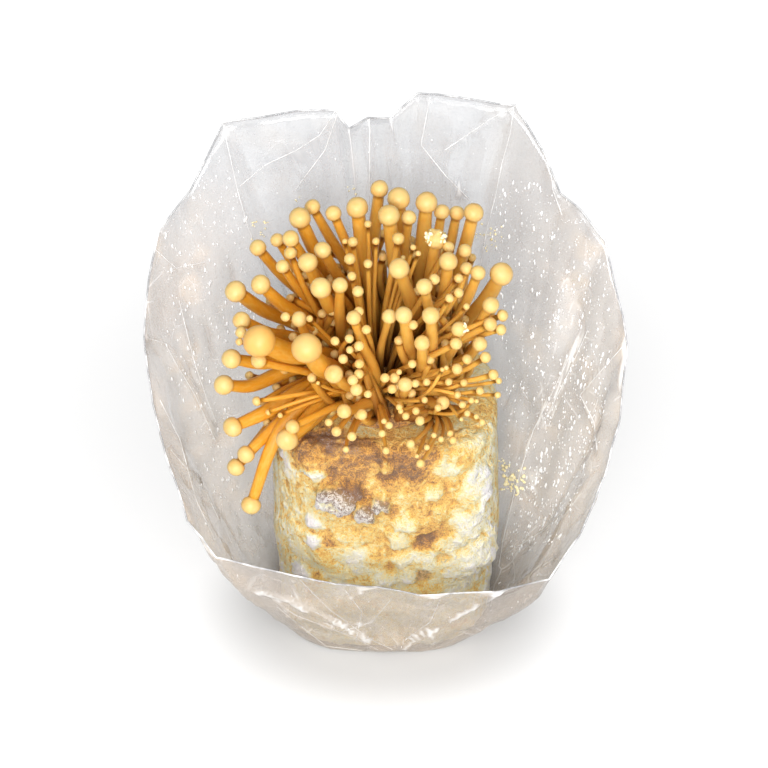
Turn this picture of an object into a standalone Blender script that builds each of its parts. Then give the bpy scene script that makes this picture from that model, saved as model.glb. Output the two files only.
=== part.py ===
"""Mushroom grow kit: an opened film bag, the substrate block that stands in it, and the
clump of golden mushrooms that grows from the block's top.

Metres, +Z up. The origin is on the bag's flat underside, at its centre. The mouth of the
bag opens to -Y, which is the front, and +X is to the right of someone who looks at it.
Every piece is built as a grid that is wrapped round: each row of the grid is one ring of
the piece, and a ring whose points all fall together closes it.
"""

import math

import bmesh
import bpy
import numpy as np

MM = 0.001

# Gaps between pieces at rest, and the distance within which grid points are welded
SEAT_GAP = 0.3 * MM
WELD = 0.002 * MM

# Substrate block
BLOCK_WIDTH = 124 * MM
BLOCK_DEPTH = 105 * MM
BLOCK_HEIGHT = 158 * MM
BLOCK_CORNER = 42 * MM
BLOCK_EDGE = 9 * MM
BLOCK_BULGE = 2.5 * MM
BLOCK_UNEVEN = 1.1 * MM
BLOCK_FRONT_COLUMNS = 23
BLOCK_REAR_COLUMNS = 11
BLOCK_ROWS = 11
BLOCK_TOP_RING = 0.72

# The sides are smooth up to CALM_HEIGHT and turn uneven over the next CALM_RISE. They
# turn smooth again over the last CALM_TOP below the block's top
CALM_HEIGHT = 10 * MM
CALM_RISE = 25 * MM
CALM_TOP = 12 * MM

# Waves that the sides' unevenness is made of: how far across, in depth and up makes one
# radian, in millimetres, then a shift in radians, and the wave's share
BLOCK_WAVES = (
    (7.1, 30.0, 15.0, 0.4, 1.0),
    (40.0, 8.3, 6.1, 0.0, 1.0),
    (13.0, 25.0, -11.0, 0.7, 0.8),
)

# Lumps that stand proud of the block's front: across, height, radius and how far out
BLOCK_LUMPS = (
    (-24, 122, 9.5, 6.5),
    (-8, 115, 8.0, 5.5),
    (0, 144, 5.5, 3.0),
    (-33, 147, 8.0, 3.5),
    (-22, 151, 7.0, 3.0),
    (47, 116, 10.0, 4.5),
    (44, 93, 12.0, 5.5),
    (52, 70, 13.0, 5.0),
    (20, 99, 13.0, 2.5),
    (-44, 90, 12.0, 3.0),
    (-14, 72, 14.0, 2.5),
    (12, 128, 12.0, 2.0),
)

# Film bag
FILM = 0.6 * MM
BAG_WIDTH = 262 * MM
BAG_FRONT = 92 * MM
BAG_REAR = 70 * MM
BAG_HEIGHT = 298 * MM
FRONT_LIP = 90 * MM
BLOCK_PLAY = 1.6 * MM
WALL_ROWS = 9
WALL_CROWDING = 1.15
FLOOR_ROWS = 2
SPOKES_PER_RIM_POINT = 2

# Each spoke of the wall is a curve with two handles, a low one and a high one. They lie
# these shares of the way from the floor's outline to the rim, outwards and upwards. Swing
# is what the open gussets add at the sides, and cling what the rear loses to the block
HANDLES_OUT = (0.33, 0.67)
HANDLES_UP = (0.33, 0.66)
SWING_OUT = (0.22, 0.14)
SWING_UP = -0.14
CLING = (0.85, 0.75)

# The bag's rim, anticlockwise from the right: the turn about the floor that each point
# rises from, its place across and in depth as shares of the half width and of the front
# or rear depth, and its rise as a share of the way from the front lip to the bag's height
RIM = (
    (0, 1.00, 0.00, 0.455),
    (10, 0.935, 0.21, 0.585),
    (19, 0.885, 0.40, 0.69),
    (28, 0.785, 0.57, 0.75),
    (36, 0.71, 0.69, 0.77),
    (43, 0.645, 0.80, 0.86),
    (50, 0.515, 0.93, 0.973),
    (64, 0.375, 0.97, 0.985),
    (76, 0.205, 1.00, 1.00),
    (82, 0.13, 1.00, 1.00),
    (87, 0.02, 0.89, 0.95),
    (92, -0.07, 1.00, 0.93),
    (98, -0.145, 0.89, 0.92),
    (103, -0.195, 1.00, 0.955),
    (115, -0.36, 0.97, 0.955),
    (128, -0.645, 0.93, 0.925),
    (137, -0.785, 0.71, 0.777),
    (147, -0.905, 0.43, 0.72),
    (163, -0.95, 0.20, 0.62),
    (180, -0.975, -0.06, 0.51),
    (193, -0.935, -0.28, 0.37),
    (204, -0.88, -0.49, 0.274),
    (214, -0.785, -0.71, 0.145),
    (225, -0.68, -0.85, 0.072),
    (239, -0.44, -0.94, 0.06),
    (257, -0.20, -0.98, 0.03),
    (281, 0.14, -1.00, 0.00),
    (303, 0.47, -0.96, 0.00),
    (316, 0.67, -0.85, -0.01),
    (326, 0.80, -0.65, 0.065),
    (337, 0.905, -0.43, 0.19),
    (348, 0.955, -0.22, 0.285),
)

# The film's length round the bag at mid height, and the share of the wall's height over
# which folds come up from nothing above the floor
FILM_ROUND = 660 * MM
FOLDS_COME = 0.15

# Folds pressed into the film: from a turn and a share of the wall's height to another,
# how wide the fold is, and how far it stands out (or in, where negative)
FOLDS = (
    (268, 0.02, 228, 0.75, 13, 4.5),
    (272, 0.02, 322, 0.80, 13, 4.5),
    (270, 0.30, 270, 0.90, 22, -3.0),
    (50, 0.45, 50, 1.00, 10, 3.5),
    (128, 0.45, 128, 1.00, 10, 3.5),
    (103, 0.98, 138, 0.66, 9, -3.0),
    (76, 0.98, 58, 0.62, 9, -3.0),
    (180, 0.95, 207, 0.45, 11, -5.0),
    (163, 0.80, 196, 0.40, 10, 4.0),
    (214, 0.95, 232, 0.40, 10, 4.0),
    (0, 0.95, 332, 0.35, 12, -5.0),
    (348, 0.95, 318, 0.45, 10, 4.0),
    (19, 0.95, 10, 0.40, 12, 4.5),
)

# Foot of the clump: a low dome on the block's top
ROOT_RADIUS = 35 * MM
ROOT_HEIGHT = 13 * MM
ROOT_MARGIN = 4 * MM
ROOT_SINK = 1.2 * MM
ROOT_COLUMNS = 24
ROOT_ROWS = 5

# The fan of mushrooms leans to the mouth, so its caps are set out in a frame that is
# tipped back by this angle: across, up the fan, and out of the fan
FAN_TILT = math.radians(40)
FAN_SCALE = 1.0
STEM_SHARE = 0.51
FOOT_SHARE = 1.03
FOOT_SPREAD = 0.6
STEM_SPACE = 1.0 * MM
CAP_MOST_SIDES = 8
CAP_LEAST_SIDES = 6
SHOOT_SIDES = 5
BIG_CAP = 9.9

# Rings of a cap from its turned-in edge to its tip: height above the stem's end and
# radius, as shares of the cap's radius
CAP_RINGS = ((-0.12, 0.82), (0.35, 1.00), (0.95, 0.72), (1.26, 0.0))

# The way, square to the stem, in which each ring's first point lies
RING_START = (0.31, 0.87, 0.11)

# A stem's course before it leans: where its rings lie along it, and how far it keeps to
# the way it leaves the foot and the way it meets the cap, as shares of its reach
STEM_MARKS = (0.0, 0.2, 0.45, 0.72, 1.0)
LEAVE_SHARE = 0.36
ARRIVE_SHARE = 0.30

# How the stems are leaned apart: steps, the share of their size that they start at, balls
# felt along each run between two rings, how often and how widely near balls are looked
# for, how far one push carries, how much a course is evened out while it grows and when
# it is grown, and where the middle of a cap lies, as a share of its radius
LEAN_STEPS = 1500
LEAN_START = 0.4
BALLS_PER_RUN = 7
PAIR_STEPS = 20
PAIR_MARGIN = 3 * MM
LEAN_RATE = 2.4
EVEN_WHILE_GROWING = 0.12
EVEN_WHEN_GROWN = 0.02
CAP_MIDDLE = 0.5

# Room kept above the block's top, and how far a cap reaches from its stem's end
BLOCK_ROOM = 2 * MM
CAP_REACH = 1.3

# Single mushrooms: cap's place across, up and out in millimetres from the middle of the
# block's top, cap diameter in millimetres, and how much the stem turns up at its tip
MUSHROOMS = (
    (-3, 100, 48, 9.3, 0.3),
    (7, 94, 56, 11.7, 0.3),
    (-14, 89, 58, 11.2, 0.3),
    (2, 84, 70, 11.0, 0.3),
    (21, 92, 56, 11.2, 0.3),
    (29, 88, 50, 8.2, 0.3),
    (37, 88, 44, 8.0, 0.3),
    (45, 87, 54, 10.2, 0.4),
    (12, 84, 62, 7.6, 0.3),
    (-26, 87, 54, 8.2, 0.3),
    (-37, 91, 46, 8.3, 0.3),
    (-43, 84, 56, 11.2, 0.3),
    (-55, 74, 48, 7.2, 0.3),
    (-65, 70, 46, 8.8, 0.4),
    (-47, 73, 66, 8.5, 0.3),
    (-51, 59, 68, 7.0, 0.3),
    (-38, 60, 78, 9.9, 0.3),
    (-31, 67, 70, 8.7, 0.3),
    (-31, 47, 88, 10.5, 0.3),
    (-22, 48, 92, 7.8, 0.3),
    (-75, 47, 58, 11.2, 0.4),
    (-62, 50, 66, 10.0, 0.3),
    (-60, 21, 92, 16.0, 0.3),
    (-37, 17, 104, 14.8, 0.3),
    (-71, 32, 72, 9.0, 0.3),
    (-76, 13, 70, 10.0, 0.4),
    (-81, 0, 58, 10.4, 1.0),
    (-77, -21, 50, 10.5, 0.2),
    (-71, -35, 44, 9.3, 0.0),
    (-77, -42, 36, 9.4, 0.1),
    (-49, -27, 58, 11.4, 0.1),
    (-70, -62, 30, 10.5, -0.9),
    (-26, 6, 84, 9.3, 0.3),
    (-42, 32, 84, 7.8, 0.3),
    (7, 56, 94, 10.2, 0.3),
    (25, 72, 74, 9.7, 0.3),
    (31, 60, 84, 9.3, 0.3),
    (40, 67, 66, 7.0, 0.3),
    (19, 47, 96, 8.2, 0.3),
    (46, 55, 76, 7.7, 0.3),
    (58, 55, 66, 11.8, 0.4),
    (52, 39, 80, 8.4, 0.3),
    (22, 33, 100, 8.7, 0.3),
    (9, 33, 104, 8.4, 0.3),
    (-15, 32, 96, 7.3, 0.3),
    (36, 27, 88, 7.6, 0.3),
    (18, 20, 92, 7.8, 0.3),
    (47, 20, 72, 7.7, 0.3),
    (-20, -13, 74, 7.5, 0.1),
    (10, 0, 78, 7.4, 0.3),
    (29, -9, 62, 7.1, 0.2),
)

# Short shoots that are grown together with the foot, given the same way
SHORT_SHOOTS = (
    (0, -36, 48, 5.0, -0.1),
    (23, -43, 45, 5.2, -0.2),
    (10, -29, 54, 5.4, 0.0),
    (-25, -33, 44, 5.6, 0.0),
    (28, -28, 48, 5.2, 0.0),
    (42, -28, 40, 4.8, 0.0),
)


def remove_scene_objects():
    """Empties the scene of the objects it starts with."""
    for item in list(bpy.data.objects):
        bpy.data.objects.remove(item, do_unlink=True)


def finish(name, colour, roughness, metallic=0.0, alpha=1.0):
    """A plain surface finish."""
    material = bpy.data.materials.new(name)
    material.use_nodes = True
    shader = material.node_tree.nodes["Principled BSDF"]
    shader.inputs["Base Color"].default_value = (*colour, 1.0)
    shader.inputs["Roughness"].default_value = roughness
    shader.inputs["Metallic"].default_value = metallic
    shader.inputs["Alpha"].default_value = alpha
    return material


def unit(vectors):
    """The given vectors, each brought to length one."""
    return vectors / np.linalg.norm(vectors, axis=-1, keepdims=True)


def wrap(name, rings, material):
    """An object through the given rings, which all have the same number of points.

    The rings stand in a flat grid, one to a row, which is carried to its place in space
    and welded along its two long edges. Rings run anticlockwise seen from the end.
    """
    rows, columns = rings.shape[:2]
    shape = bmesh.new()
    bmesh.ops.create_grid(shape, x_segments=columns, y_segments=rows - 1, size=0.5)
    for vert in shape.verts:
        column = round((vert.co.x + 0.5) * columns) % columns
        row = round((vert.co.y + 0.5) * (rows - 1))
        vert.co = rings[row, column]
    bmesh.ops.remove_doubles(shape, verts=shape.verts, dist=WELD)
    mesh = bpy.data.meshes.new(name)
    shape.to_mesh(mesh)
    shape.free()
    mesh.shade_smooth()
    mesh.materials.append(material)
    piece = bpy.data.objects.new(name, mesh)
    bpy.context.scene.collection.objects.link(piece)
    return piece


def rounded_outline(turns, half_width, half_depth, corner):
    """Points of a rounded rectangle about the origin, at the given turns in degrees."""
    points = []
    for turn in np.radians(turns):
        across, along = math.cos(turn), math.sin(turn)
        low, high = 0.0, half_width + half_depth
        for _ in range(40):
            reach = (low + high) / 2
            over_x = max(abs(across * reach) - (half_width - corner), 0.0)
            over_y = max(abs(along * reach) - (half_depth - corner), 0.0)
            if math.hypot(over_x, over_y) < corner:
                low = reach
            else:
                high = reach
        points.append((across * reach, along * reach))
    return np.array(points)


def bump(distance, width):
    """A smooth hill that is 1 at distance 0 and dies away at the given width."""
    return np.exp(-(2.0 * (distance / width) ** 2))


def block_rings():
    """The rings of the block, from the middle of its underside to the middle of its top."""
    bottom = FILM + SEAT_GAP
    turns = np.concatenate((
        np.linspace(0, 180, BLOCK_REAR_COLUMNS, endpoint=False),
        np.linspace(180, 360, BLOCK_FRONT_COLUMNS, endpoint=False),
    ))
    quarter = np.radians((0, 45, 90))
    edge_in = BLOCK_EDGE * (1 - np.sin(quarter))
    edge_up = BLOCK_EDGE * (1 - np.cos(quarter))
    sides = np.linspace(bottom + BLOCK_EDGE, BLOCK_HEIGHT - BLOCK_EDGE, BLOCK_ROWS + 2)[1:-1]
    levels = [(bottom, None)]
    levels += [(bottom + up, inset) for up, inset in zip(edge_up, edge_in)]
    levels += [(height, 0.0) for height in sides]
    levels += [(BLOCK_HEIGHT - up, inset) for up, inset in zip(edge_up[::-1], edge_in[::-1])]
    rings = []
    for height, inset in levels:
        if inset is None:
            rings.append(np.tile((0.0, 0.0, height), (len(turns), 1)))
            continue
        outline = rounded_outline(
            turns, BLOCK_WIDTH / 2 - inset, BLOCK_DEPTH / 2 - inset, BLOCK_CORNER - inset)
        rings.append(np.column_stack((outline, np.full(len(turns), height))))
    middle = rings[-1] * (BLOCK_TOP_RING, BLOCK_TOP_RING, 1.0)
    top = np.tile((0.0, 0.0, BLOCK_HEIGHT), (len(turns), 1))
    return roughened(np.array(rings + [middle, top]))


def roughened(rings):
    """The block's rings with its unevenness and, on the front, its lumps."""
    x, y, z = (rings[..., axis] / MM for axis in range(3))
    rise = np.clip((rings[..., 2] - CALM_HEIGHT) / CALM_RISE, 0, 1)
    rise *= np.clip((BLOCK_HEIGHT - rings[..., 2]) / CALM_TOP, 0, 1)
    wave = np.zeros_like(x)
    for across, depth, up, shift, share in BLOCK_WAVES:
        wave += share * (np.sin(x / across + y / depth + z / up + shift) - 1)
    inward = BLOCK_UNEVEN * rise * wave / sum(row[-1] for row in BLOCK_WAVES)
    outward = np.zeros_like(x)
    for across, height, radius, proud in BLOCK_LUMPS:
        lump = bump(np.hypot(x - across, z - height), radius * 1.4)
        outward = np.maximum(outward, proud * MM * lump * (y < 0) * rise)
    away = unit(np.stack((rings[..., 0], rings[..., 1], np.zeros_like(x)), -1) + 1e-9)
    rings = rings + away * (inward + outward)[..., None]
    belly = np.sin(np.pi * np.clip(rings[..., 2] / BLOCK_HEIGHT, 0, 1))
    rings[..., 0] *= 1 + 2 * BLOCK_BULGE / BLOCK_WIDTH * belly
    return rings


def rim_at(turns):
    """The rim's place over each turn, and the row of RIM values that it comes from."""
    table = np.array(RIM + tuple((row[0] + 360, *row[1:]) for row in RIM[:2]))
    first = (RIM[-1][0] - 360, *RIM[-1][1:])
    table = np.vstack((first, table))
    across, depth, rise = (np.interp(turns, table[:, 0], table[:, k]) for k in (1, 2, 3))
    place = np.stack((
        across * BAG_WIDTH / 2,
        np.where(depth < 0, depth * BAG_FRONT, depth * BAG_REAR),
        FRONT_LIP + rise * (BAG_HEIGHT - FRONT_LIP),
    ), -1)
    return place, depth


def bag_turns():
    """The turns of the bag's spokes: every rim point, and evenly between them."""
    marks = [row[0] for row in RIM] + [360]
    turns = []
    for start, end in zip(marks[:-1], marks[1:]):
        turns += list(np.linspace(start, end, SPOKES_PER_RIM_POINT, endpoint=False))
    return np.array(turns)


def wall_rings(turns, shares):
    """Rings of the bag's wall at the given shares of its height, before it is folded.

    Each spoke of the wall is a curve from the floor's outline to the rim. At the sides it
    swings out low down, where the gussets open, and at the rear it clings to the block.
    """
    foot = rounded_outline(
        turns, BLOCK_WIDTH / 2 + BLOCK_PLAY, BLOCK_DEPTH / 2 + BLOCK_PLAY,
        BLOCK_CORNER + BLOCK_PLAY)
    foot = np.column_stack((foot, np.full(len(turns), FILM)))
    rim, depth = rim_at(turns)
    swing = np.clip(1 - np.abs(depth), 0, 1)
    cling = np.clip(depth, 0, 1)
    out_low, out_high = (
        (out + more * swing) * (1 - less * cling)
        for out, more, less in zip(HANDLES_OUT, SWING_OUT, CLING))
    up_low = HANDLES_UP[0] + SWING_UP * swing
    up_high = np.full(len(turns), HANDLES_UP[1])
    low = foot + (rim - foot) * np.stack((out_low, out_low, up_low), -1)
    high = foot + (rim - foot) * np.stack((out_high, out_high, up_high), -1)
    rings = []
    for share in shares:
        rest = 1 - share
        rings.append(rest ** 3 * foot + 3 * rest ** 2 * share * low
                     + 3 * rest * share ** 2 * high + share ** 3 * rim)
    return np.array(rings)


def folded(rings, turns, shares):
    """The wall's rings with the film's folds pushed out of or into the wall."""
    around = np.roll(rings, -1, axis=1) - np.roll(rings, 1, axis=1)
    along = np.gradient(rings, axis=0)
    away = unit(np.cross(around, along))
    round_scale = FILM_ROUND / MM / 360.0
    height_scale = rings[-1, :, 2] / MM
    offset = np.zeros(rings.shape[:2])
    for turn_low, low, turn_high, high, width, out in FOLDS:
        for turn_shift in (-360, 0, 360):
            start = np.array((turn_low + turn_shift, low))
            run = np.array((turn_high, high)) - (turn_low, low)
            if run[0] > 180:
                run[0] -= 360
            if run[0] < -180:
                run[0] += 360
            scale = np.stack((np.full(len(turns), round_scale), height_scale), -1)
            place = np.stack(np.meshgrid(turns, shares), -1) - start
            path = run * scale
            place = place * scale
            length = (path ** 2).sum(-1)
            travel = np.clip((place * path).sum(-1) / length, 0, 1)
            miss = np.linalg.norm(place - travel[..., None] * path, axis=-1)
            offset += out * MM * bump(miss, width)
    fade = np.clip(np.array(shares) / FOLDS_COME, 0, 1)[:, None]
    return rings + away * (offset * fade)[..., None]


def bag_rings():
    """The rings of the bag's inner face, from the middle of its floor up to its rim."""
    turns = bag_turns()
    shares = (np.arange(WALL_ROWS + 1) / WALL_ROWS) ** WALL_CROWDING
    walls = folded(wall_rings(turns, shares), turns, shares)
    floor = []
    for step in range(FLOOR_ROWS):
        floor.append(walls[0] * (step / FLOOR_ROWS, step / FLOOR_ROWS, 1.0))
    return np.concatenate((np.array(floor), walls))


def fan_place(across, up, out):
    """A place in the fan, given from the middle of the block's top, in the kit's frame."""
    sine, cosine = math.sin(FAN_TILT), math.cos(FAN_TILT)
    scale = FAN_SCALE * MM
    return np.array((
        across * scale,
        (up * sine - out * cosine) * scale,
        (up * cosine + out * sine) * scale + BLOCK_HEIGHT,
    ))


def root_sphere():
    """The radius and the middle of the sphere that the foot's dome is a cap of."""
    radius = (ROOT_RADIUS ** 2 + ROOT_HEIGHT ** 2) / (2 * ROOT_HEIGHT)
    middle = BLOCK_HEIGHT + SEAT_GAP + ROOT_HEIGHT - radius
    return radius, np.array((0.0, 0.0, middle))


def seated(feet, lift):
    """The feet brought back onto the dome, that far above it and off its edge."""
    radius, middle = root_sphere()
    flat = feet[:, :2]
    reach = np.linalg.norm(flat, axis=-1, keepdims=True)
    most = ROOT_RADIUS - ROOT_MARGIN
    flat = flat * np.minimum(1.0, most / np.maximum(reach, 1e-9))
    rise = np.sqrt(radius ** 2 - (flat ** 2).sum(-1))
    away = unit(np.column_stack((flat, rise)))
    return middle + away * (radius + lift[:, None]), away


def first_spines(caps, turn_up, lift):
    """The stems' first course: out of the dome at a right angle, then over to the cap."""
    course = unit(caps - (0.0, 0.0, BLOCK_HEIGHT))[:, :2]
    middle = (course.min(0) + course.max(0)) / 2
    feet = (course - middle) / (course.max(0) - middle) * ROOT_RADIUS * FOOT_SPREAD
    feet, away = seated(feet, lift)
    reach = np.linalg.norm(caps - feet, axis=-1, keepdims=True)
    tip = unit(unit(caps - feet) + turn_up[:, None] * np.array((0.0, 0.0, 1.0)))
    leave = feet + away * reach * LEAVE_SHARE
    arrive = caps - tip * reach * ARRIVE_SHARE
    spines = []
    for share in STEM_MARKS:
        rest = 1 - share
        spines.append(rest ** 3 * feet + 3 * rest ** 2 * share * leave
                      + 3 * rest * share ** 2 * arrive + share ** 3 * caps)
    return np.stack(spines, axis=1)


def stem_widths(cap_radii, marks, last):
    """Stem radii at the given marks along a course, from 0 at the foot to last at the cap."""
    return np.multiply.outer(cap_radii, STEM_SHARE * np.interp(marks, (0, last), (FOOT_SHARE, 1)))


def near_pairs(balls, radii, owner):
    """Every pair of balls of two different mushrooms that could meet in the next steps."""
    square = (balls ** 2).sum(-1)
    distance = square[:, None] + square - 2 * balls @ balls.T
    least = radii[:, None] + radii + PAIR_MARGIN
    return np.nonzero((owner[:, None] != owner) & (distance < least ** 2))


def pushed(balls, radii, first, second):
    """How far each ball is pushed by those that come too near to it."""
    between = balls[first] - balls[second]
    distance = np.linalg.norm(between, axis=-1) + WELD
    near = np.clip(radii[first] + radii[second] - distance, 0, None)
    push = np.zeros_like(balls)
    np.add.at(push, first, between * (near / distance)[:, None])
    crowd = np.bincount(first, near > 0, len(balls))
    return push / np.sqrt(np.maximum(crowd, 1))[:, None]


def lean_apart(spines, cap_radii, lift):
    """The stems' courses after those that would touch have leaned away from each other.

    Every stem is felt as a row of balls along its course, and every cap as one ball. Balls
    of two mushrooms that come too near push both stems aside. The balls start small and
    grow, as the mushrooms do, so that each stem finds its way between the others.
    """
    count, knots = spines.shape[:2]
    marks = np.linspace(0, knots - 1, (knots - 1) * BALLS_PER_RUN + 1)
    share = np.maximum(0, 1 - np.abs(marks[:, None] - np.arange(knots)))
    share = np.vstack((share, np.eye(knots)[-1]))
    weight = share.sum(0)[:, None]
    radii = np.column_stack((stem_widths(cap_radii, marks, knots - 1), cap_radii))
    radii = (radii + STEM_SPACE / 2).ravel()
    owner = np.repeat(np.arange(count), share.shape[0])
    lowest = BLOCK_HEIGHT + BLOCK_ROOM + cap_radii[:, None] * np.full(knots, STEM_SHARE)
    lowest[:, -1] = BLOCK_HEIGHT + BLOCK_ROOM + cap_radii * CAP_REACH
    course = spines
    for step in range(LEAN_STEPS):
        balls = share @ course
        tip = unit(course[:, -1] - course[:, -2])
        balls[:, -1] += tip * cap_radii[:, None] * CAP_MIDDLE
        flat = balls.reshape(-1, 3)
        if step % PAIR_STEPS == 0:
            first, second = near_pairs(flat, radii, owner)
        grown = min(1.0, LEAN_START + step / LEAN_STEPS)
        even = EVEN_WHILE_GROWING if grown < 1 else EVEN_WHEN_GROWN
        push = pushed(flat, radii * grown, first, second).reshape(count, -1, 3)
        shift = course - spines + LEAN_RATE * (share.T @ push) / weight
        shift[:, 1:-1] += even * (shift[:, :-2] + shift[:, 2:] - 2 * shift[:, 1:-1])
        course = spines + shift
        over = (abs(course[..., 0]) < BLOCK_WIDTH / 2) & (abs(course[..., 1]) < BLOCK_DEPTH / 2)
        course[..., 2] = np.where(over, np.maximum(course[..., 2], lowest), course[..., 2])
        course[:, 0], _ = seated(course[:, 0], lift)
    return course


def ring_round(middle, course, side, radius, turns):
    """A ring of points about a middle, square to the course."""
    side = unit(side - course * (side @ course))
    other = np.cross(course, side)
    return middle + radius * (np.outer(np.cos(turns), side) + np.outer(np.sin(turns), other))


def mushroom_rings(spine, cap_radius, sides, foot_away):
    """The rings of one mushroom: foot, stem, the cap's turned-in edge, its crown and tip."""
    turns = np.arange(sides) * 2 * math.pi / sides
    runs = unit(np.diff(spine, axis=0))
    courses = np.vstack((foot_away, unit(runs[:-1] + runs[1:]), runs[-1:]))
    side = np.cross(courses[0], RING_START)
    widths = stem_widths(cap_radius, np.arange(len(spine)), len(spine) - 1)
    rings = [ring_round(spine[0], courses[0], side, 0.0, turns)]
    for middle, course, width in zip(spine, courses, widths):
        rings.append(ring_round(middle, course, side, width, turns))
    for height, width in CAP_RINGS:
        middle = spine[-1] + runs[-1] * height * cap_radius
        rings.append(ring_round(middle, runs[-1], side, width * cap_radius, turns))
    return np.array(rings)


def root_rings():
    """The rings of the foot's dome, from the middle of its underside to its top."""
    radius, middle = root_sphere()
    turns = np.arange(ROOT_COLUMNS) * 2 * math.pi / ROOT_COLUMNS
    circle = np.stack((np.cos(turns), np.sin(turns), np.zeros(ROOT_COLUMNS)), -1)
    base = BLOCK_HEIGHT + SEAT_GAP
    rings = [np.tile((0.0, 0.0, base), (ROOT_COLUMNS, 1))]
    for share in np.linspace(1, 0, ROOT_ROWS + 1):
        reach = ROOT_RADIUS * share
        height = middle[2] + math.sqrt(radius ** 2 - reach ** 2)
        rings.append(circle * reach + (0.0, 0.0, height))
    return np.array(rings)


def build_clump():
    """The foot of the clump with its short shoots, and every single mushroom."""
    flesh = finish("mushroom_flesh", (0.86, 0.62, 0.24), 0.55)
    foot_flesh = finish("clump_foot", (0.62, 0.36, 0.12), 0.75)
    rows = np.array(MUSHROOMS + SHORT_SHOOTS)
    single = np.arange(len(rows)) < len(MUSHROOMS)
    cap_radii = rows[:, 3] / 2 * MM
    lift = np.where(single, SEAT_GAP, -ROOT_SINK)
    caps = np.array([fan_place(*row[:3]) for row in rows])
    spines = lean_apart(first_spines(caps, rows[:, 4], lift), cap_radii, lift)
    _, away = seated(spines[:, 0], lift)
    short_rings = []
    for index, (spine, cap_radius) in enumerate(zip(spines, cap_radii)):
        if single[index]:
            big = rows[index, 3] >= BIG_CAP
            sides = CAP_MOST_SIDES if big else CAP_LEAST_SIDES
            rings = mushroom_rings(spine, cap_radius, sides, away[index])
            wrap(f"mushroom_{index + 1:02d}", rings, flesh)
        else:
            short_rings.append(mushroom_rings(spine, cap_radius, SHOOT_SIDES, away[index]))
    base = wrap("clump_base", root_rings(), foot_flesh)
    for number, rings in enumerate(short_rings):
        shoot = wrap(f"short_shoot_{number + 1}", rings, flesh)
        shoot.hide_render = True
        shoot.display_type = "WIRE"
        join = base.modifiers.new(f"grown_{number + 1}", "BOOLEAN")
        join.operation = "UNION"
        join.solver = "EXACT"
        join.object = shoot


def build_block():
    """The substrate block."""
    wrap("substrate_block", block_rings(), finish("substrate", (0.88, 0.74, 0.50), 0.85))


def build_bag():
    """The film bag: its inner face, given the film's thickness outwards."""
    bag = wrap("grow_bag", bag_rings(), finish("film", (0.85, 0.85, 0.85), 0.2, alpha=0.35))
    skin = bag.modifiers.new("film_thickness", "SOLIDIFY")
    skin.thickness = FILM
    skin.offset = 1.0
    skin.use_even_offset = True
    skin.use_rim = True


def build_kit():
    """Every piece of the kit."""
    remove_scene_objects()
    build_bag()
    build_block()
    build_clump()


build_kit()
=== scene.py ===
"""Looks of a golden enoki grow kit: a folded film bag, its colonised block and the clump on it."""
import logging
import math
from collections.abc import Iterable, Iterator, Sequence
from dataclasses import dataclass, field
from enum import Enum
from functools import cached_property

import bmesh
import bpy
import numpy as np
from mathutils import Matrix, Vector, kdtree, noise
from mathutils.bvhtree import BVHTree


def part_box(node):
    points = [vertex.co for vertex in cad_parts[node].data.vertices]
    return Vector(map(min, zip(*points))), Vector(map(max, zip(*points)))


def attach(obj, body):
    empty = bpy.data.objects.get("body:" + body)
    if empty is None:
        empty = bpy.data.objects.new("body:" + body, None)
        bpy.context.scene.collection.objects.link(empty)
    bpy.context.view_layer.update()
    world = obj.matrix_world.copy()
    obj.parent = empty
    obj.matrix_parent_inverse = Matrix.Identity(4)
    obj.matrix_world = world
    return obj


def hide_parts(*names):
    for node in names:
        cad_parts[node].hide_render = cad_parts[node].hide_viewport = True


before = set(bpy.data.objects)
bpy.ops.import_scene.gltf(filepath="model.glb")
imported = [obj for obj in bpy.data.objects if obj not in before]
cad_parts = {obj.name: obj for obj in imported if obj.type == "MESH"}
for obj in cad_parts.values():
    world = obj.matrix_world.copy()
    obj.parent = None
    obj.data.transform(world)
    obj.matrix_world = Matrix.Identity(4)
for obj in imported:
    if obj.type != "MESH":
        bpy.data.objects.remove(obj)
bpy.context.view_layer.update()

MM = 0.001
WELD = 0.002 * MM
NOISE_SEED = 7
BODY = "root"
Colour = tuple[float, float, float]
log = logging.getLogger("grow_kit")


def tint(red: float, green: float, blue: float) -> Colour:
    """Turns a colour on the 0 to 255 display scale into the linear one that shaders use.

    Args:
        red: Red, 0 to 255.
        green: Green, 0 to 255.
        blue: Blue, 0 to 255.

    Returns:
        The linear colour.
    """
    shares = (red / 255, green / 255, blue / 255)
    return tuple(s / 12.92 if s <= 0.04045 else ((s + 0.055) / 1.055) ** 2.4 for s in shares)


def eased(value: float, low: float, high: float) -> float:
    """Returns 0 below low, 1 above high and a smooth rise between them."""
    share = min(1.0, max(0.0, (value - low) / (high - low)))
    return share * share * (3 - 2 * share)


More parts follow.
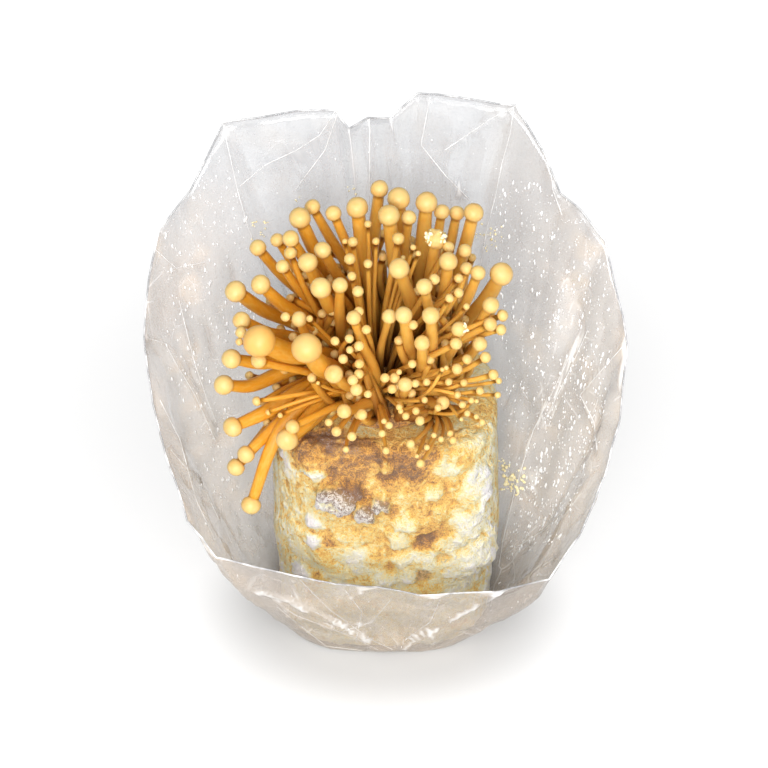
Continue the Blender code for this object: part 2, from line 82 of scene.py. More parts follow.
class Wire:
    """One value, colour or vector on its way through a material, with Python's operators."""

    def __init__(self, graph: "Graph", socket: bpy.types.NodeSocket | None) -> None:
        """Keeps the socket and the graph that it belongs to."""
        self.graph = graph
        self.socket = socket

    def math(self, operation: str, *values: "Wire | float") -> "Wire":
        """Adds a Math node.

        Args:
            operation: The node's operation.
            values: What it works on, in order.

        Returns:
            Its result.
        """
        return self.graph.node("ShaderNodeMath", {"operation": operation}, dict(enumerate(values)))

    def __add__(self, other: "Wire | float") -> "Wire":
        """Sum."""
        return self.math("ADD", self, other)

    def __radd__(self, other: float) -> "Wire":
        """Sum with a number on the left."""
        return self.math("ADD", other, self)

    def __sub__(self, other: "Wire | float") -> "Wire":
        """Difference."""
        return self.math("SUBTRACT", self, other)

    def __rsub__(self, other: float) -> "Wire":
        """Difference from a number on the left."""
        return self.math("SUBTRACT", other, self)

    def __mul__(self, other: "Wire | float") -> "Wire":
        """Product."""
        return self.math("MULTIPLY", self, other)

    def __rmul__(self, other: float) -> "Wire":
        """Product with a number on the left."""
        return self.math("MULTIPLY", other, self)

    def most(self, other: "Wire | float") -> "Wire":
        """The larger of the two."""
        return self.math("MAXIMUM", self, other)

    def within(self, low: float, high: float, start: float = 0.0, end: float = 1.0) -> "Wire":
        """Maps low..high onto start..end with eased, clamped ends.

        Args:
            low: Value that gives start.
            high: Value that gives end.
            start: Result at low.
            end: Result at high.

        Returns:
            The mapped value.
        """
        settings = {"interpolation_type": "SMOOTHSTEP"}
        inputs = {0: self, 1: low, 2: high, 3: start, 4: end}
        return self.graph.node("ShaderNodeMapRange", settings, inputs)


class Graph:
    """The node tree of a material or a world, with one method that adds any node."""

    def __init__(self, owner: bpy.types.Material | bpy.types.World) -> None:
        """Empties the tree of a material or a world."""
        owner.use_nodes = True
        self.owner = owner
        self.tree = owner.node_tree
        self.tree.nodes.clear()

    @classmethod
    def named(cls, name: str) -> "Graph":
        """Starts an empty material of that name."""
        return cls(bpy.data.materials.new(name))

    @cached_property
    def place(self) -> Wire:
        """The place that is shaded, in the piece's own metres."""
        return self.node("ShaderNodeTexCoord", {}, {}, "Object")

    def node(self, kind: str, settings: dict, inputs: dict, out: int | str = 0) -> Wire:
        """Adds a node.

        Args:
            kind: The node's type.
            settings: Its properties; "stops" holds a ramp's positions and colours.
            inputs: A value or a Wire for each socket, by name or number.
            out: The output that is wanted.

        Returns:
            That output, or an empty Wire for a node that has none.
        """
        node = self.tree.nodes.new(kind)
        for key, value in settings.items():
            if key == "stops":
                for number, (position, colour) in enumerate(value):
                    ramp = node.color_ramp.elements
                    stop = ramp[number] if number < 2 else ramp.new(position)
                    stop.position, stop.color = position, (*colour, 1)
            else:
                setattr(node, key, value)
        for key, value in inputs.items():
            if isinstance(value, Wire):
                self.tree.links.new(value.socket, node.inputs[key])
            else:
                socket = node.inputs[key]
                wide = hasattr(socket.default_value, "__len__") and len(socket.default_value) == 4
                socket.default_value = (*value, 1) if wide and len(value) == 3 else value
        return Wire(self, node.outputs[out] if len(node.outputs) else None)

    def attribute(self, name: str, out: str) -> Wire:
        """Reads an attribute of the piece's mesh."""
        return self.node("ShaderNodeAttribute", {"attribute_name": name}, {}, out)

    def outputs(self, first: Wire, *keys: int | str) -> list[Wire]:
        """Gives the named outputs of the node that a wire leaves."""
        return [Wire(self, first.socket.node.outputs[key]) for key in keys]

    def parts(self, colour: Wire) -> list[Wire]:
        """Splits a colour into its three shares."""
        return self.outputs(self.node("ShaderNodeSeparateColor", {}, {0: colour}), 0, 1, 2)

    def length(self, at: Wire) -> Wire:
        """Gives a vector's length."""
        return self.node("ShaderNodeVectorMath", {"operation": "LENGTH"}, {0: at}, "Value")

    def stretched(self, at: Wire, scale: Colour, shift: Colour = (0, 0, 0)) -> Wire:
        """Scales a place before a pattern reads it."""
        return self.node("ShaderNodeMapping", {}, {"Vector": at, "Scale": scale, "Location": shift})

    def grain(
        self, at: Wire, size: float, detail: float = 3, rough: float = 0.55, warp: float = 0
    ) -> Wire:
        """Adds a noise pattern.

        Args:
            at: Where it is read.
            size: Size of its main feature, in the same unit.
            detail: Finer layers.
            rough: Their share.
            warp: Distortion.

        Returns:
            The pattern, about 0.3 to 0.7.
        """
        return self.node("ShaderNodeTexNoise", {}, {
            "Vector": at, "Scale": 1 / size, "Detail": detail, "Roughness": rough,
            "Distortion": warp,
        })

    def facets(self, at: Wire, size: float) -> tuple[Wire, Wire]:
        """Adds a pattern of flat facets.

        Args:
            at: Where it is read.
            size: A facet's size, in the same unit.

        Returns:
            Each facet's own value, 0 to 1, and the distance to its edge as a share of its size.
        """
        kind, inputs = "ShaderNodeTexVoronoi", {"Vector": at, "Scale": 1 / size}
        cells = self.node(kind, {"feature": "F1"}, inputs, "Color")
        edges = self.node(kind, {"feature": "DISTANCE_TO_EDGE"}, inputs, "Distance")
        return self.parts(cells)[0], edges

    def blend(self, share: Wire | float, first: Wire | Colour, second: Wire | Colour) -> Wire:
        """Mixes two colours.

        Args:
            share: How much of the second.
            first: First colour.
            second: Second colour.

        Returns:
            The mixed colour.
        """
        settings = {"data_type": "RGBA", "clamp_factor": True}
        return self.node("ShaderNodeMix", settings, {0: share, 6: first, 7: second}, 2)

    def bump(self, height: Wire, depth: float, strength: float) -> Wire:
        """Turns a height pattern into a normal; depth is in metres."""
        inputs = {"Strength": strength, "Distance": depth, "Height": height}
        return self.node("ShaderNodeBump", {}, inputs)

    def close(self, inputs: dict) -> bpy.types.Material:
        """Adds the Principled shader and the output.

        Args:
            inputs: Its sockets' values and links.

        Returns:
            The finished material.
        """
        self.finish(self.node("ShaderNodeBsdfPrincipled", {}, inputs))
        return self.owner

    def finish(self, shader: Wire, kind: str = "ShaderNodeOutputMaterial") -> None:
        """Links a shader to an output node of that type."""
        self.node(kind, {}, {"Surface": shader})


@dataclass(frozen=True)
class FilmFinish:
    """Thin clear film with a grey haze and white creases, with warm mist and a painted warm
    reflection low down, painted shade beside the block and facets painted lighter and darker.
    """

    cool: Colour = tint(180, 182, 186)
    # Colour of the warm mist and the painted warm reflection of the block
    warm: Colour = tint(226, 209, 190)
    shade: Colour = tint(160, 150, 140)
    # White of the creases, which also serves the painted highlights
    crease: Colour = tint(252, 252, 252)
    haze: float = 0.33
    facet: float = 0.040
    crinkle: float = 0.013

    def material(self) -> bpy.types.Material:
        """Builds the film's material."""
        graph = Graph.named("bag_film")
        crease, low, press = graph.parts(graph.attribute("film", "Color"))
        fold, cast, busy = graph.parts(graph.attribute("cast", "Color"))
        cloud = graph.grain(graph.place, 0.05, 3, 0.5, 0.4)
        mist = graph.grain(graph.place, 0.0018, 2, 0.6)
        streak = graph.grain(graph.stretched(graph.place, (1, 1, 0.2)), 0.006, 3, 0.55, 0.3)
        broad, broad_edge = graph.facets(graph.stretched(graph.place, (1, 1, 0.55)), self.facet)
        small, small_edge = graph.facets(graph.stretched(graph.place, (1, 1, 0.6)), self.crinkle)
        torn = graph.grain(graph.place, 0.011, 2, 0.5).within(0.5, 0.62)
        busy = busy * (1 - press * 0.7)
        # Painted light and shade: each flat facet and each side of a crease is made lighter or
        # darker, drawn streaks add painted highlights where the film is busy, and the lighter parts
        # are also more opaque
        lit = (broad - 0.5) * 0.28 + (small - 0.5) * busy * 0.22 + (fold - 0.5) * 0.6
        drawn = graph.grain(graph.stretched(graph.place, (1, 1, 0.16)), 0.006, 2, 0.5, 0.2)
        lit = lit + drawn.within(0.58, 0.72, 0, 0.35) * busy
        line = broad_edge.within(0.0, 0.018, 0.6, 0) * cloud.within(0.5, 0.6) * busy
        line = line + small_edge.within(0.0, 0.04, 0.6, 0) * busy * torn
        # Warm mist and painted warm reflection, with patches where the film is busy
        mist_and_reflection = low + graph.grain(graph.place, 0.022, 2, 0.5).within(0.5, 0.7, 0, 0.6) * busy
        colour = graph.blend(mist_and_reflection, self.cool, self.warm)
        # Painted shade: the film is darkened beside the block on the right and on the folded front
        # flap
        colour = graph.blend(cast + press * 0.34, colour, self.shade)
        # Painted highlight towards white, painted shade towards the shade colour
        colour = graph.blend(lit.within(0.06, 0.65, 0, 0.58), colour, self.crease)
        colour = graph.blend((0 - lit).within(0.05, 0.6, 0, 0.5), colour, self.shade)
        # White creases and crinkle lines: stress-whitened film, partly a painted highlight
        colour = graph.blend(crease.within(0.2, 0.9, 0, 0.7).most(line), colour, self.crease)
        alpha = self.haze + cloud.within(0.35, 0.68, -0.04, 0.06) + mist.within(0.56, 0.72, 0, 0.06)
        alpha = alpha + crease * 0.35 + streak.within(0.52, 0.7, 0, 0.05)
        alpha = alpha + press * 0.03 + cast * 0.12
        alpha = alpha + line * 0.22 + lit.within(0.1, 0.7, 0, 0.3)
        height = streak * 0.3 + broad_edge * 3 + small_edge * busy * 0.6
        return graph.close({
            "Base Color": colour, "Alpha": alpha, "Roughness": cloud.within(0.35, 0.65, 0.12, 0.24),
            "IOR": 1.5, "Specular IOR Level": 0.9, "Coat Weight": 0.4, "Coat Roughness": 0.06,
            "Normal": graph.bump(height, 0.0012, 0.5),
        })


@dataclass(frozen=True)
class RimFinish:
    """The film's own cut edge or the ridge of a crease, with a painted gleam mixed in by noise."""

    name: str
    colour: Colour
    gleam: Colour = tint(252, 252, 252)

    def material(self) -> bpy.types.Material:
        """Builds the edge's material."""
        graph = Graph.named(self.name)
        shade = graph.grain(graph.place, 0.012, 3)
        colour = graph.blend(shade.within(0.35, 0.65), self.colour, self.gleam)
        return graph.close({
            "Base Color": colour, "Alpha": shade.within(0.3, 0.7, 0.55, 0.9), "Roughness": 0.15,
            "Specular IOR Level": 0.8,
        })


@dataclass(frozen=True)
class FleshFinish:
    """Mushroom flesh: butter-yellow satin caps turning orange at the rim, partly as painted shade,
    and fibrous stems from tan to deep amber, darkened towards the foot by painted shade and their
    own browner base.
    """

    crown: Colour = tint(218, 186, 118)
    margin: Colour = tint(220, 164, 78)
    pale: Colour = tint(222, 174, 84)
    amber: Colour = tint(214, 144, 26)
    # Colour of the painted shade at a stem's foot, partly its own browner base
    deep: Colour = tint(104, 38, 2)

    def material(self) -> bpy.types.Material:
        """Builds the flesh's material."""
        graph = Graph.named("mushroom_flesh")
        cap, amber, along = graph.parts(graph.attribute("tone", "Color"))
        around = graph.attribute("fibre", "Vector")
        fibre = graph.grain(around, 0.28, 4, 0.6, 0.2)
        cloud = graph.grain(graph.place, 0.007, 3, 0.5)
        stem = graph.blend(amber, self.pale, self.amber)
        stem = graph.blend(fibre.within(0.4, 0.66, 0, 0.5), stem, self.pale)
        stem = graph.blend(cloud.within(0.5, 0.7, 0, 0.3), stem, self.amber)
        # Painted shade, partly the stem's own browner foot: stems darken towards the foot
        stem = graph.blend(along.within(0.0, 0.5, 0.9, 0.0), stem, self.deep)
        # Caps turn more orange towards the rim: partly their own colour, partly painted shade on
        # the lower side
        crown = graph.blend(cap.within(0.15, 0.7), self.margin, self.crown)
        crown = graph.blend(cloud.within(0.4, 0.7, 0, 0.35), crown, self.margin)
        top = cap.within(0.02, 0.12)
        pores = graph.grain(graph.place, 0.0008, 2, 0.6)
        height = fibre * (1 - top) + pores * top * 0.08
        return graph.close({
            "Base Color": graph.blend(top, stem, crown),
            "Roughness": fibre.within(0.3, 0.7, 0.36, 0.5),
            "Subsurface Weight": 0.22, "Subsurface Radius": (1.0, 0.55, 0.2),
            "Subsurface Scale": 0.0022, "Specular IOR Level": 0.42,
            "Normal": graph.bump(height, 0.00045, 0.55),
        })


@dataclass(frozen=True)
class BlockFinish:
    """Sawdust grown through with threads: brown, then orange, yellow, cream and white."""

    tones: tuple[tuple[float, Colour], ...] = (
        (0.0, tint(140, 102, 70)), (0.14, tint(186, 132, 74)), (0.28, tint(236, 174, 84)),
        (0.42, tint(255, 212, 112)), (0.58, tint(255, 238, 178)), (0.78, tint(255, 250, 226)),
        (1.0, tint(252, 247, 246)),
    )
    grey: Colour = tint(240, 232, 230)
    mould_dark_and_shade: Colour = tint(138, 102, 78)
    brown: Colour = tint(160, 104, 56)

    def material(self) -> bpy.types.Material:
        """Builds the block's material."""
        graph = Graph.named("colonised_sawdust")
        tone, grey, streak = graph.parts(graph.attribute("growth", "Color"))
        coarse = graph.grain(graph.place, 0.008, 5, 0.65, 0.9)
        fine = graph.grain(graph.place, 0.0026, 4, 0.68, 0.6)
        speck = graph.grain(graph.place, 0.0008, 3, 0.65)
        down = graph.grain(graph.stretched(graph.place, (1, 1, 0.12)), 0.0028, 4, 0.65, 0.8)
        mixed = tone + (coarse - 0.5) * 0.6 + (fine - 0.5) * 0.7 + (speck - 0.5) * 0.8
        mixed = mixed + (down - 0.5) * streak * 1.6
        colour = graph.node("ShaderNodeValToRGB", {"stops": self.tones}, {0: mixed})
        # The mould mottles darker at random and where the tone is low, so the painted shade on the
        # grey knobs carries into it
        mould_mottle_and_shade = fine * 0.6 + speck * 0.4 - (tone - 0.5) * 0.13
        mould = graph.blend(mould_mottle_and_shade.within(0.42, 0.53), self.grey, self.mould_dark_and_shade)
        colour = graph.blend((grey + (fine - 0.5) * 1.6).within(0.2, 0.9) * 0.85, colour, mould)
        colour = graph.blend(speck.within(0.62, 0.72, 0, 0.5), colour, self.brown)
        height = coarse * 1.4 + fine * 1.2 + speck * 0.7
        return graph.close({
            "Base Color": colour, "Roughness": fine.within(0.3, 0.7, 0.72, 0.95),
            "Specular IOR Level": 0.3, "Sheen Weight": 0.15, "Sheen Roughness": 0.5,
            "Subsurface Weight": 0.06, "Subsurface Radius": (1.0, 0.7, 0.4),
            "Subsurface Scale": 0.0015,
            "Normal": graph.bump(height, 0.0024, 1.0),
        })


@dataclass(frozen=True)
class PlainFinish:
    """A small piece's finish: one colour that varies to a second one."""

    name: str
    first: Colour
    second: Colour
    size: float
    roughness: float = 0.6

    def material(self) -> bpy.types.Material:
        """Builds the material."""
        graph = Graph.named(self.name)
        shade = graph.grain(graph.place, self.size, 3, 0.6)
        return graph.close({
            "Base Color": graph.blend(shade.within(0.35, 0.65), self.first, self.second),
            "Roughness": shade.within(0.3, 0.7, self.roughness * 0.8, self.roughness),
            "Normal": graph.bump(shade, self.size * 0.2, 0.4),
        })


@dataclass(frozen=True)
class PhotoView:
    """The camera's place, and what a point of the picture looks at."""

    elevation: float = 40.0
    distance: float = 850.0
    aim: tuple[float, float, float] = (0.0, 0.0, 158.0)
    scale: float = 0.545
    centre: tuple[float, float] = (385.0, 385.0)
    size: int = 768
    sensor: float = 36.0

    def axes(self) -> tuple[Vector, Vector, Vector]:
        """Returns the view's right, up and backward directions."""
        tilt = math.radians(self.elevation)
        sine, cosine = math.sin(tilt), math.cos(tilt)
        return Vector((1, 0, 0)), Vector((0, sine, cosine)), Vector((0, -cosine, sine))

    def eye(self) -> Vector:
        """Returns the camera's place, in metres."""
        return (Vector(self.aim) + self.axes()[2] * self.distance) * MM

    def sight(self, across: float, down: float) -> Vector:
        """Gives the direction in which a point of the picture is seen.

        Args:
            across: Its column, from the left.
            down: Its row, from the top.

        Returns:
            The unit direction from the camera.
        """
        right, up, back = self.axes()
        plane = right * (across - self.centre[0]) + up * (self.centre[1] - down)
        return (plane * self.scale - back * self.distance).normalized()

    def place(self, across: float, down: float, out: float) -> Vector:
        """Gives the place seen at a point of the picture, that far out from the aim's plane.

        Args:
            across: Its column.
            down: Its row.
            out: Distance towards the camera, in mm.

        Returns:
            The place, in metres.
        """
        sight = self.sight(across, down)
        return self.eye() + sight * ((self.distance - out) * MM / -sight.dot(self.axes()[2]))

    def seen(self, place: Sequence[float]) -> tuple[float, float, float]:
        """Gives the column, row and outward distance in mm of a place in metres."""
        right, up, back = self.axes()
        away = Vector(place) / MM - Vector(self.aim)
        out = away.dot(back)
        near = self.scale * (1 - out / self.distance)
        return self.centre[0] + away.dot(right) / near, self.centre[1] - away.dot(up) / near, out

    def followed(
        self, line: Sequence[tuple[float, float]], surface: BVHTree, pitch: float, ends: int
    ) -> Iterator[tuple[Vector, Vector, Vector, Vector]]:
        """Follows a line of the picture over a surface.

        Args:
            line: The column and row of each of its corners.
            surface: The surface.
            pitch: About how many pixels lie between two samples.
            ends: 1 to sample the last point of each run too, or else 0.

        Yields:
            The place on the surface, its normal, the sight line and the way across the line.
        """
        right, up, _ = self.axes()
        for (c0, r0), (c1, r1) in zip(line, line[1:]):
            steps = max(2, int(math.hypot(c1 - c0, r1 - r0) / pitch))
            across = (right * (r1 - r0) + up * (c1 - c0)).normalized()
            for step in range(steps + ends):
                share = step / steps
                sight = self.sight(c0 + (c1 - c0) * share, r0 + (r1 - r0) * share)
                place, normal = surface.ray_cast(self.eye(), sight)[:2]
                if place is not None:
                    yield place, normal, sight, across

    def build(self) -> None:
        """Makes the camera."""
        data = bpy.data.cameras.new("view")
        data.sensor_width = self.sensor
        data.lens = self.sensor * self.distance / (self.size * self.scale)
        half = self.size / 2
        data.shift_x = (half - self.centre[0]) / self.size
        data.shift_y = (self.centre[1] - half) / self.size
        camera = bpy.data.objects.new("view", data)
        camera.location = self.eye()
        camera.rotation_euler = (math.radians(90 - self.elevation), 0, 0)
        bpy.context.scene.collection.objects.link(camera)
        bpy.context.scene.camera = camera


def merged(node: str) -> bmesh.types.BMesh:
    """Returns a copy of a CAD node's mesh with its loose triangles joined."""
    mesh = bmesh.new()
    mesh.from_mesh(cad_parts[node].data)
    bmesh.ops.remove_doubles(mesh, verts=mesh.verts, dist=WELD)
    return mesh


def refine(mesh: bmesh.types.BMesh, cuts: int) -> None:
    """Joins a mesh's triangles into quads and cuts each edge that many times."""
    bmesh.ops.join_triangles(
        mesh, faces=mesh.faces, angle_face_threshold=math.pi, angle_shape_threshold=math.pi
    )
    bmesh.ops.subdivide_edges(mesh, edges=mesh.edges, cuts=cuts, use_grid_fill=True)


def even_out(mesh: bmesh.types.BMesh, verts: Iterable[bmesh.types.BMVert], passes: int) -> None:
    """Draws vertices halfway to their neighbours, that many times."""
    for _ in range(passes):
        bmesh.ops.smooth_vert(
            mesh, verts=verts, factor=0.5, use_axis_x=True, use_axis_y=True, use_axis_z=True
        )
    mesh.normal_update()


def unit(vector: np.ndarray) -> np.ndarray:
    """Returns a vector of length 1 that points the same way."""
    return vector / np.linalg.norm(vector)


def note(mesh: bpy.types.Mesh, name: str, kind: str, values: np.ndarray) -> None:
    """Stores a value for each vertex.

    Args:
        mesh: The mesh.
        name: The attribute's name.
        kind: FLOAT, FLOAT_VECTOR or FLOAT_COLOR.
        values: One row for each vertex.
    """
    field_name = {"FLOAT": "value", "FLOAT_VECTOR": "vector", "FLOAT_COLOR": "color"}[kind]
    layer = mesh.attributes.new(name, kind, "POINT")
    layer.data.foreach_set(field_name, np.asarray(values, np.float32).ravel())


def as_piece(
    mesh: bpy.types.Mesh, name: str, material: bpy.types.Material,
    nodes: Sequence[str] = (),
) -> bpy.types.Object:
    """Makes a finished piece of a mesh.

    Args:
        name: Its name.
        material: Its finish.
        nodes: The CAD nodes that it stands for.
    """
    mesh.name = name
    mesh.materials.clear()
    mesh.materials.append(material)
    mesh.polygons.foreach_set("use_smooth", [True] * len(mesh.polygons))
    piece = bpy.data.objects.new(name, mesh)
    bpy.context.scene.collection.objects.link(piece)
    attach(piece, BODY)
    if nodes:
        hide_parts(*nodes)
    return piece


def from_bmesh(source: bmesh.types.BMesh, name: str) -> bpy.types.Mesh:
    """Turns a bmesh into a mesh and frees it."""
    mesh = bpy.data.meshes.new(name)
    source.to_mesh(mesh)
    source.free()
    return mesh


def joined(meshes: Iterable[bpy.types.Mesh], name: str) -> bpy.types.Mesh:
    """Joins meshes, with their attributes, into one.

    Args:
        meshes: What is joined.
        name: The result's name.

    Returns:
        The joined mesh.
    """
    whole = bmesh.new()
    for mesh in meshes:
        whole.from_mesh(mesh)
    return from_bmesh(whole, name)


class Tube:
    """A closed tube of unit rings, which is bent along a centreline and swelled ring by ring."""

    def __init__(self, sides: int, rings: int) -> None:
        """Spins the unit tube; ring n lies at the height n."""
        tube = bmesh.new()
        ends = [
            bmesh.ops.create_vert(tube, co=(1, 0, height))["vert"][0] for height in (0, rings - 1)
        ]
        edge = tube.edges.new(ends)
        bmesh.ops.subdivide_edges(tube, edges=[edge], cuts=rings - 2)
        bmesh.ops.spin(
            tube, geom=tube.verts[:] + tube.edges[:], cent=(0, 0, 0), axis=(0, 0, 1),
            angle=2 * math.pi, steps=sides, use_merge=True,
        )
        bmesh.ops.remove_doubles(tube, verts=tube.verts, dist=0.001)
        ends = [e for e in tube.edges if e.is_boundary]
        lids = bmesh.ops.holes_fill(tube, edges=ends, sides=0)["faces"]
        bmesh.ops.poke(tube, faces=lids)
        bmesh.ops.recalc_face_normals(tube, faces=tube.faces)
        self.mesh = from_bmesh(tube, "tube")
        places = np.empty(len(self.mesh.vertices) * 3)
        self.mesh.vertices.foreach_get("co", places)
        places = places.reshape(-1, 3)
        self.around = places[:, :2]
        self.ring = np.rint(places[:, 2]).astype(int)


def curve_through(knots: np.ndarray, shares: np.ndarray) -> np.ndarray:
    """Samples a smooth curve through knots.

    Args:
        knots: Points or values, evenly numbered.
        shares: Where it is read, 0 to 1.

    Returns:
        The curve's points.
    """
    last = len(knots) - 1
    padded = np.concatenate((2 * knots[:1] - knots[1:2], knots, 2 * knots[-1:] - knots[-2:-1]))
    spot = np.clip(shares, 0, 1) * last
    start = np.minimum(spot.astype(int), last - 1)
    t = (spot - start).reshape((-1,) + (1,) * (knots.ndim - 1))
    a, b, c, d = (padded[start + step] for step in range(4))
    square, cube = 2 * a - 5 * b + 4 * c - d, 3 * b - a - 3 * c + d
    return 0.5 * (2 * b + (c - a) * t + square * t**2 + cube * t**3)


class CapForm(Enum):
    """How a cap has grown."""

    ROUND = "round"
    FRILLED = "frilled"


# Rings of a cap from its turned-in rim to its top: height above the stem's end and radius, as
# shares of the cap's radius, then the height of the tip
CAP_PROFILE = (
    (-0.31, 0.70), (-0.30, 0.82), (-0.17, 0.925), (0.05, 0.985), (0.30, 1.0), (0.54, 0.965),
    (0.77, 0.88), (0.97, 0.735), (1.12, 0.54), (1.215, 0.32), (1.26, 0.12),
)
CAP_TIP = 1.272

# A direction that no stem takes, from which each stem's first ring is turned
FIRST_SIDE = (0.31, 0.95, 0.11)

# Length of stem over which the fibres' pattern repeats, and how far each seed shifts it
FIBRE_LENGTH = 14 * MM
FIBRE_SHIFT = 3.1


@dataclass
class Mushroom:
    """One mushroom: a bowed stem, a little wider at its foot, and a cap with an inrolled rim."""

    knots: np.ndarray
    girths: np.ndarray
    cap: float
    facing: np.ndarray
    amber: float
    seed: int
    form: CapForm = CapForm.ROUND
    flat: float = 0.93
    # How far up the stem the painted shade at the foot reaches, raised for the hidden ones in the
    # clump's heart
    depth: float = 0.0

    def mesh(self, tube: Tube) -> bpy.types.Mesh:
        """Builds the mushroom's mesh.

        Args:
            tube: The tube that it is bent from.

        Returns:
            Its mesh, with the tone and fibre attributes.
        """
        stem_rings = tube.ring.max() + 1 - len(CAP_PROFILE) - 2
        shares = np.linspace(0, 1, stem_rings)
        line = curve_through(self.knots, shares)
        girth = curve_through(self.girths, shares)
        rng = np.random.default_rng(self.seed)
        girth *= 1 + 0.05 * np.sin(shares * rng.uniform(7, 12) + rng.uniform(0, 6))
        neck, top_girth = line[-1], girth[-1]
        share = top_girth / self.cap
        under = [(-0.12, share * 1.08), (-0.25, (share + CAP_PROFILE[0][1]) / 2)]
        profile = np.array(under + list(CAP_PROFILE))
        heights = profile[:, :1] * self.cap * self.flat
        centres = np.concatenate((line, neck + self.facing * heights))
        radii = np.concatenate((girth, profile[:, 1] * self.cap))
        frames = self.frames(line, len(profile))
        ring = tube.ring
        out = tube.around[:, :1] * frames[0][ring] + tube.around[:, 1:] * frames[1][ring]
        places = centres[ring] + out * radii[ring][:, None]
        in_cap = ring >= stem_rings
        places = self.uneven(places, in_cap, neck)
        pole = (ring == ring.max()) & (np.abs(tube.around).sum(1) < 0.5)
        places[pole] = neck + self.facing * CAP_TIP * self.cap * self.flat
        mesh = tube.mesh.copy()
        mesh.vertices.foreach_set("co", places.ravel())
        height = np.clip((ring - stem_rings) / (len(profile) - 1), 0, 1)
        steps = np.linalg.norm(np.diff(centres, axis=0), axis=1)
        length = np.concatenate((np.zeros(1), np.cumsum(steps)))
        golden = 0.55 * eased(self.cap, 6 * MM, 8 * MM)
        # tone holds the cap share, the amber share and the height along the stem, which sets the
        # painted shade at the foot
        note(mesh, "tone", "FLOAT_COLOR", np.column_stack((
            np.where(in_cap, 0.1 + (0.9 - golden) * height, 0.0), np.full(len(ring), self.amber),
            np.clip(ring / (stem_rings - 1), 0, 1) * (1 - self.depth), np.ones(len(ring)),
        )))
        note(mesh, "fibre", "FLOAT_VECTOR", np.column_stack((
            tube.around, length[ring] / FIBRE_LENGTH + self.seed * FIBRE_SHIFT,
        )))
        return mesh

    def frames(self, line: np.ndarray, cap_rings: int) -> tuple[np.ndarray, np.ndarray]:
        """Gives each ring's two axes, which turn as little as they can.

        Args:
            line: The stem's centreline.
            cap_rings: How many rings the cap has.

        Returns:
            The two axes of each ring.
        """
        ahead = np.gradient(line, axis=0)
        ahead = np.concatenate((ahead, np.tile(self.facing, (cap_rings, 1))))
        ahead /= np.linalg.norm(ahead, axis=1, keepdims=True)
        side = np.cross(ahead[0], FIRST_SIDE)
        sides = []
        for direction in ahead:
            side = unit(side - direction * side.dot(direction))
            sides.append(side)
        return np.array(sides), np.cross(ahead, np.array(sides))

    def uneven(self, places: np.ndarray, in_cap: np.ndarray, neck: np.ndarray) -> np.ndarray:
        """Makes the cap a little out of true, or frilled.

        Args:
            places: The vertices' places.
            in_cap: Which of them belong to the cap.
            neck: Where the cap starts.

        Returns:
            The moved places.
        """
        middle = neck + self.facing * 0.3 * self.cap
        frilled = self.form is CapForm.FRILLED
        reach, size = (0.30, 0.55) if frilled else (0.055, 1.3)
        for number in np.nonzero(in_cap)[0]:
            away = places[number] - middle
            spot = Vector(away / self.cap / size) + Vector((self.seed * 1.7, 0, 0))
            swell = noise.noise(spot) + (0.6 * noise.noise(spot * 2.3) if frilled else 0)
            places[number] = middle + away * (1 + reach * swell)
        return places


# Column and row, in the picture, of the cap with a frilled rim and of the one with torn bits on
# it, and how many pixels off a cap may be found
FRILLED_AT = (435, 241)
DUSTED_AT = (460, 329)
FOUND_WITHIN = 9


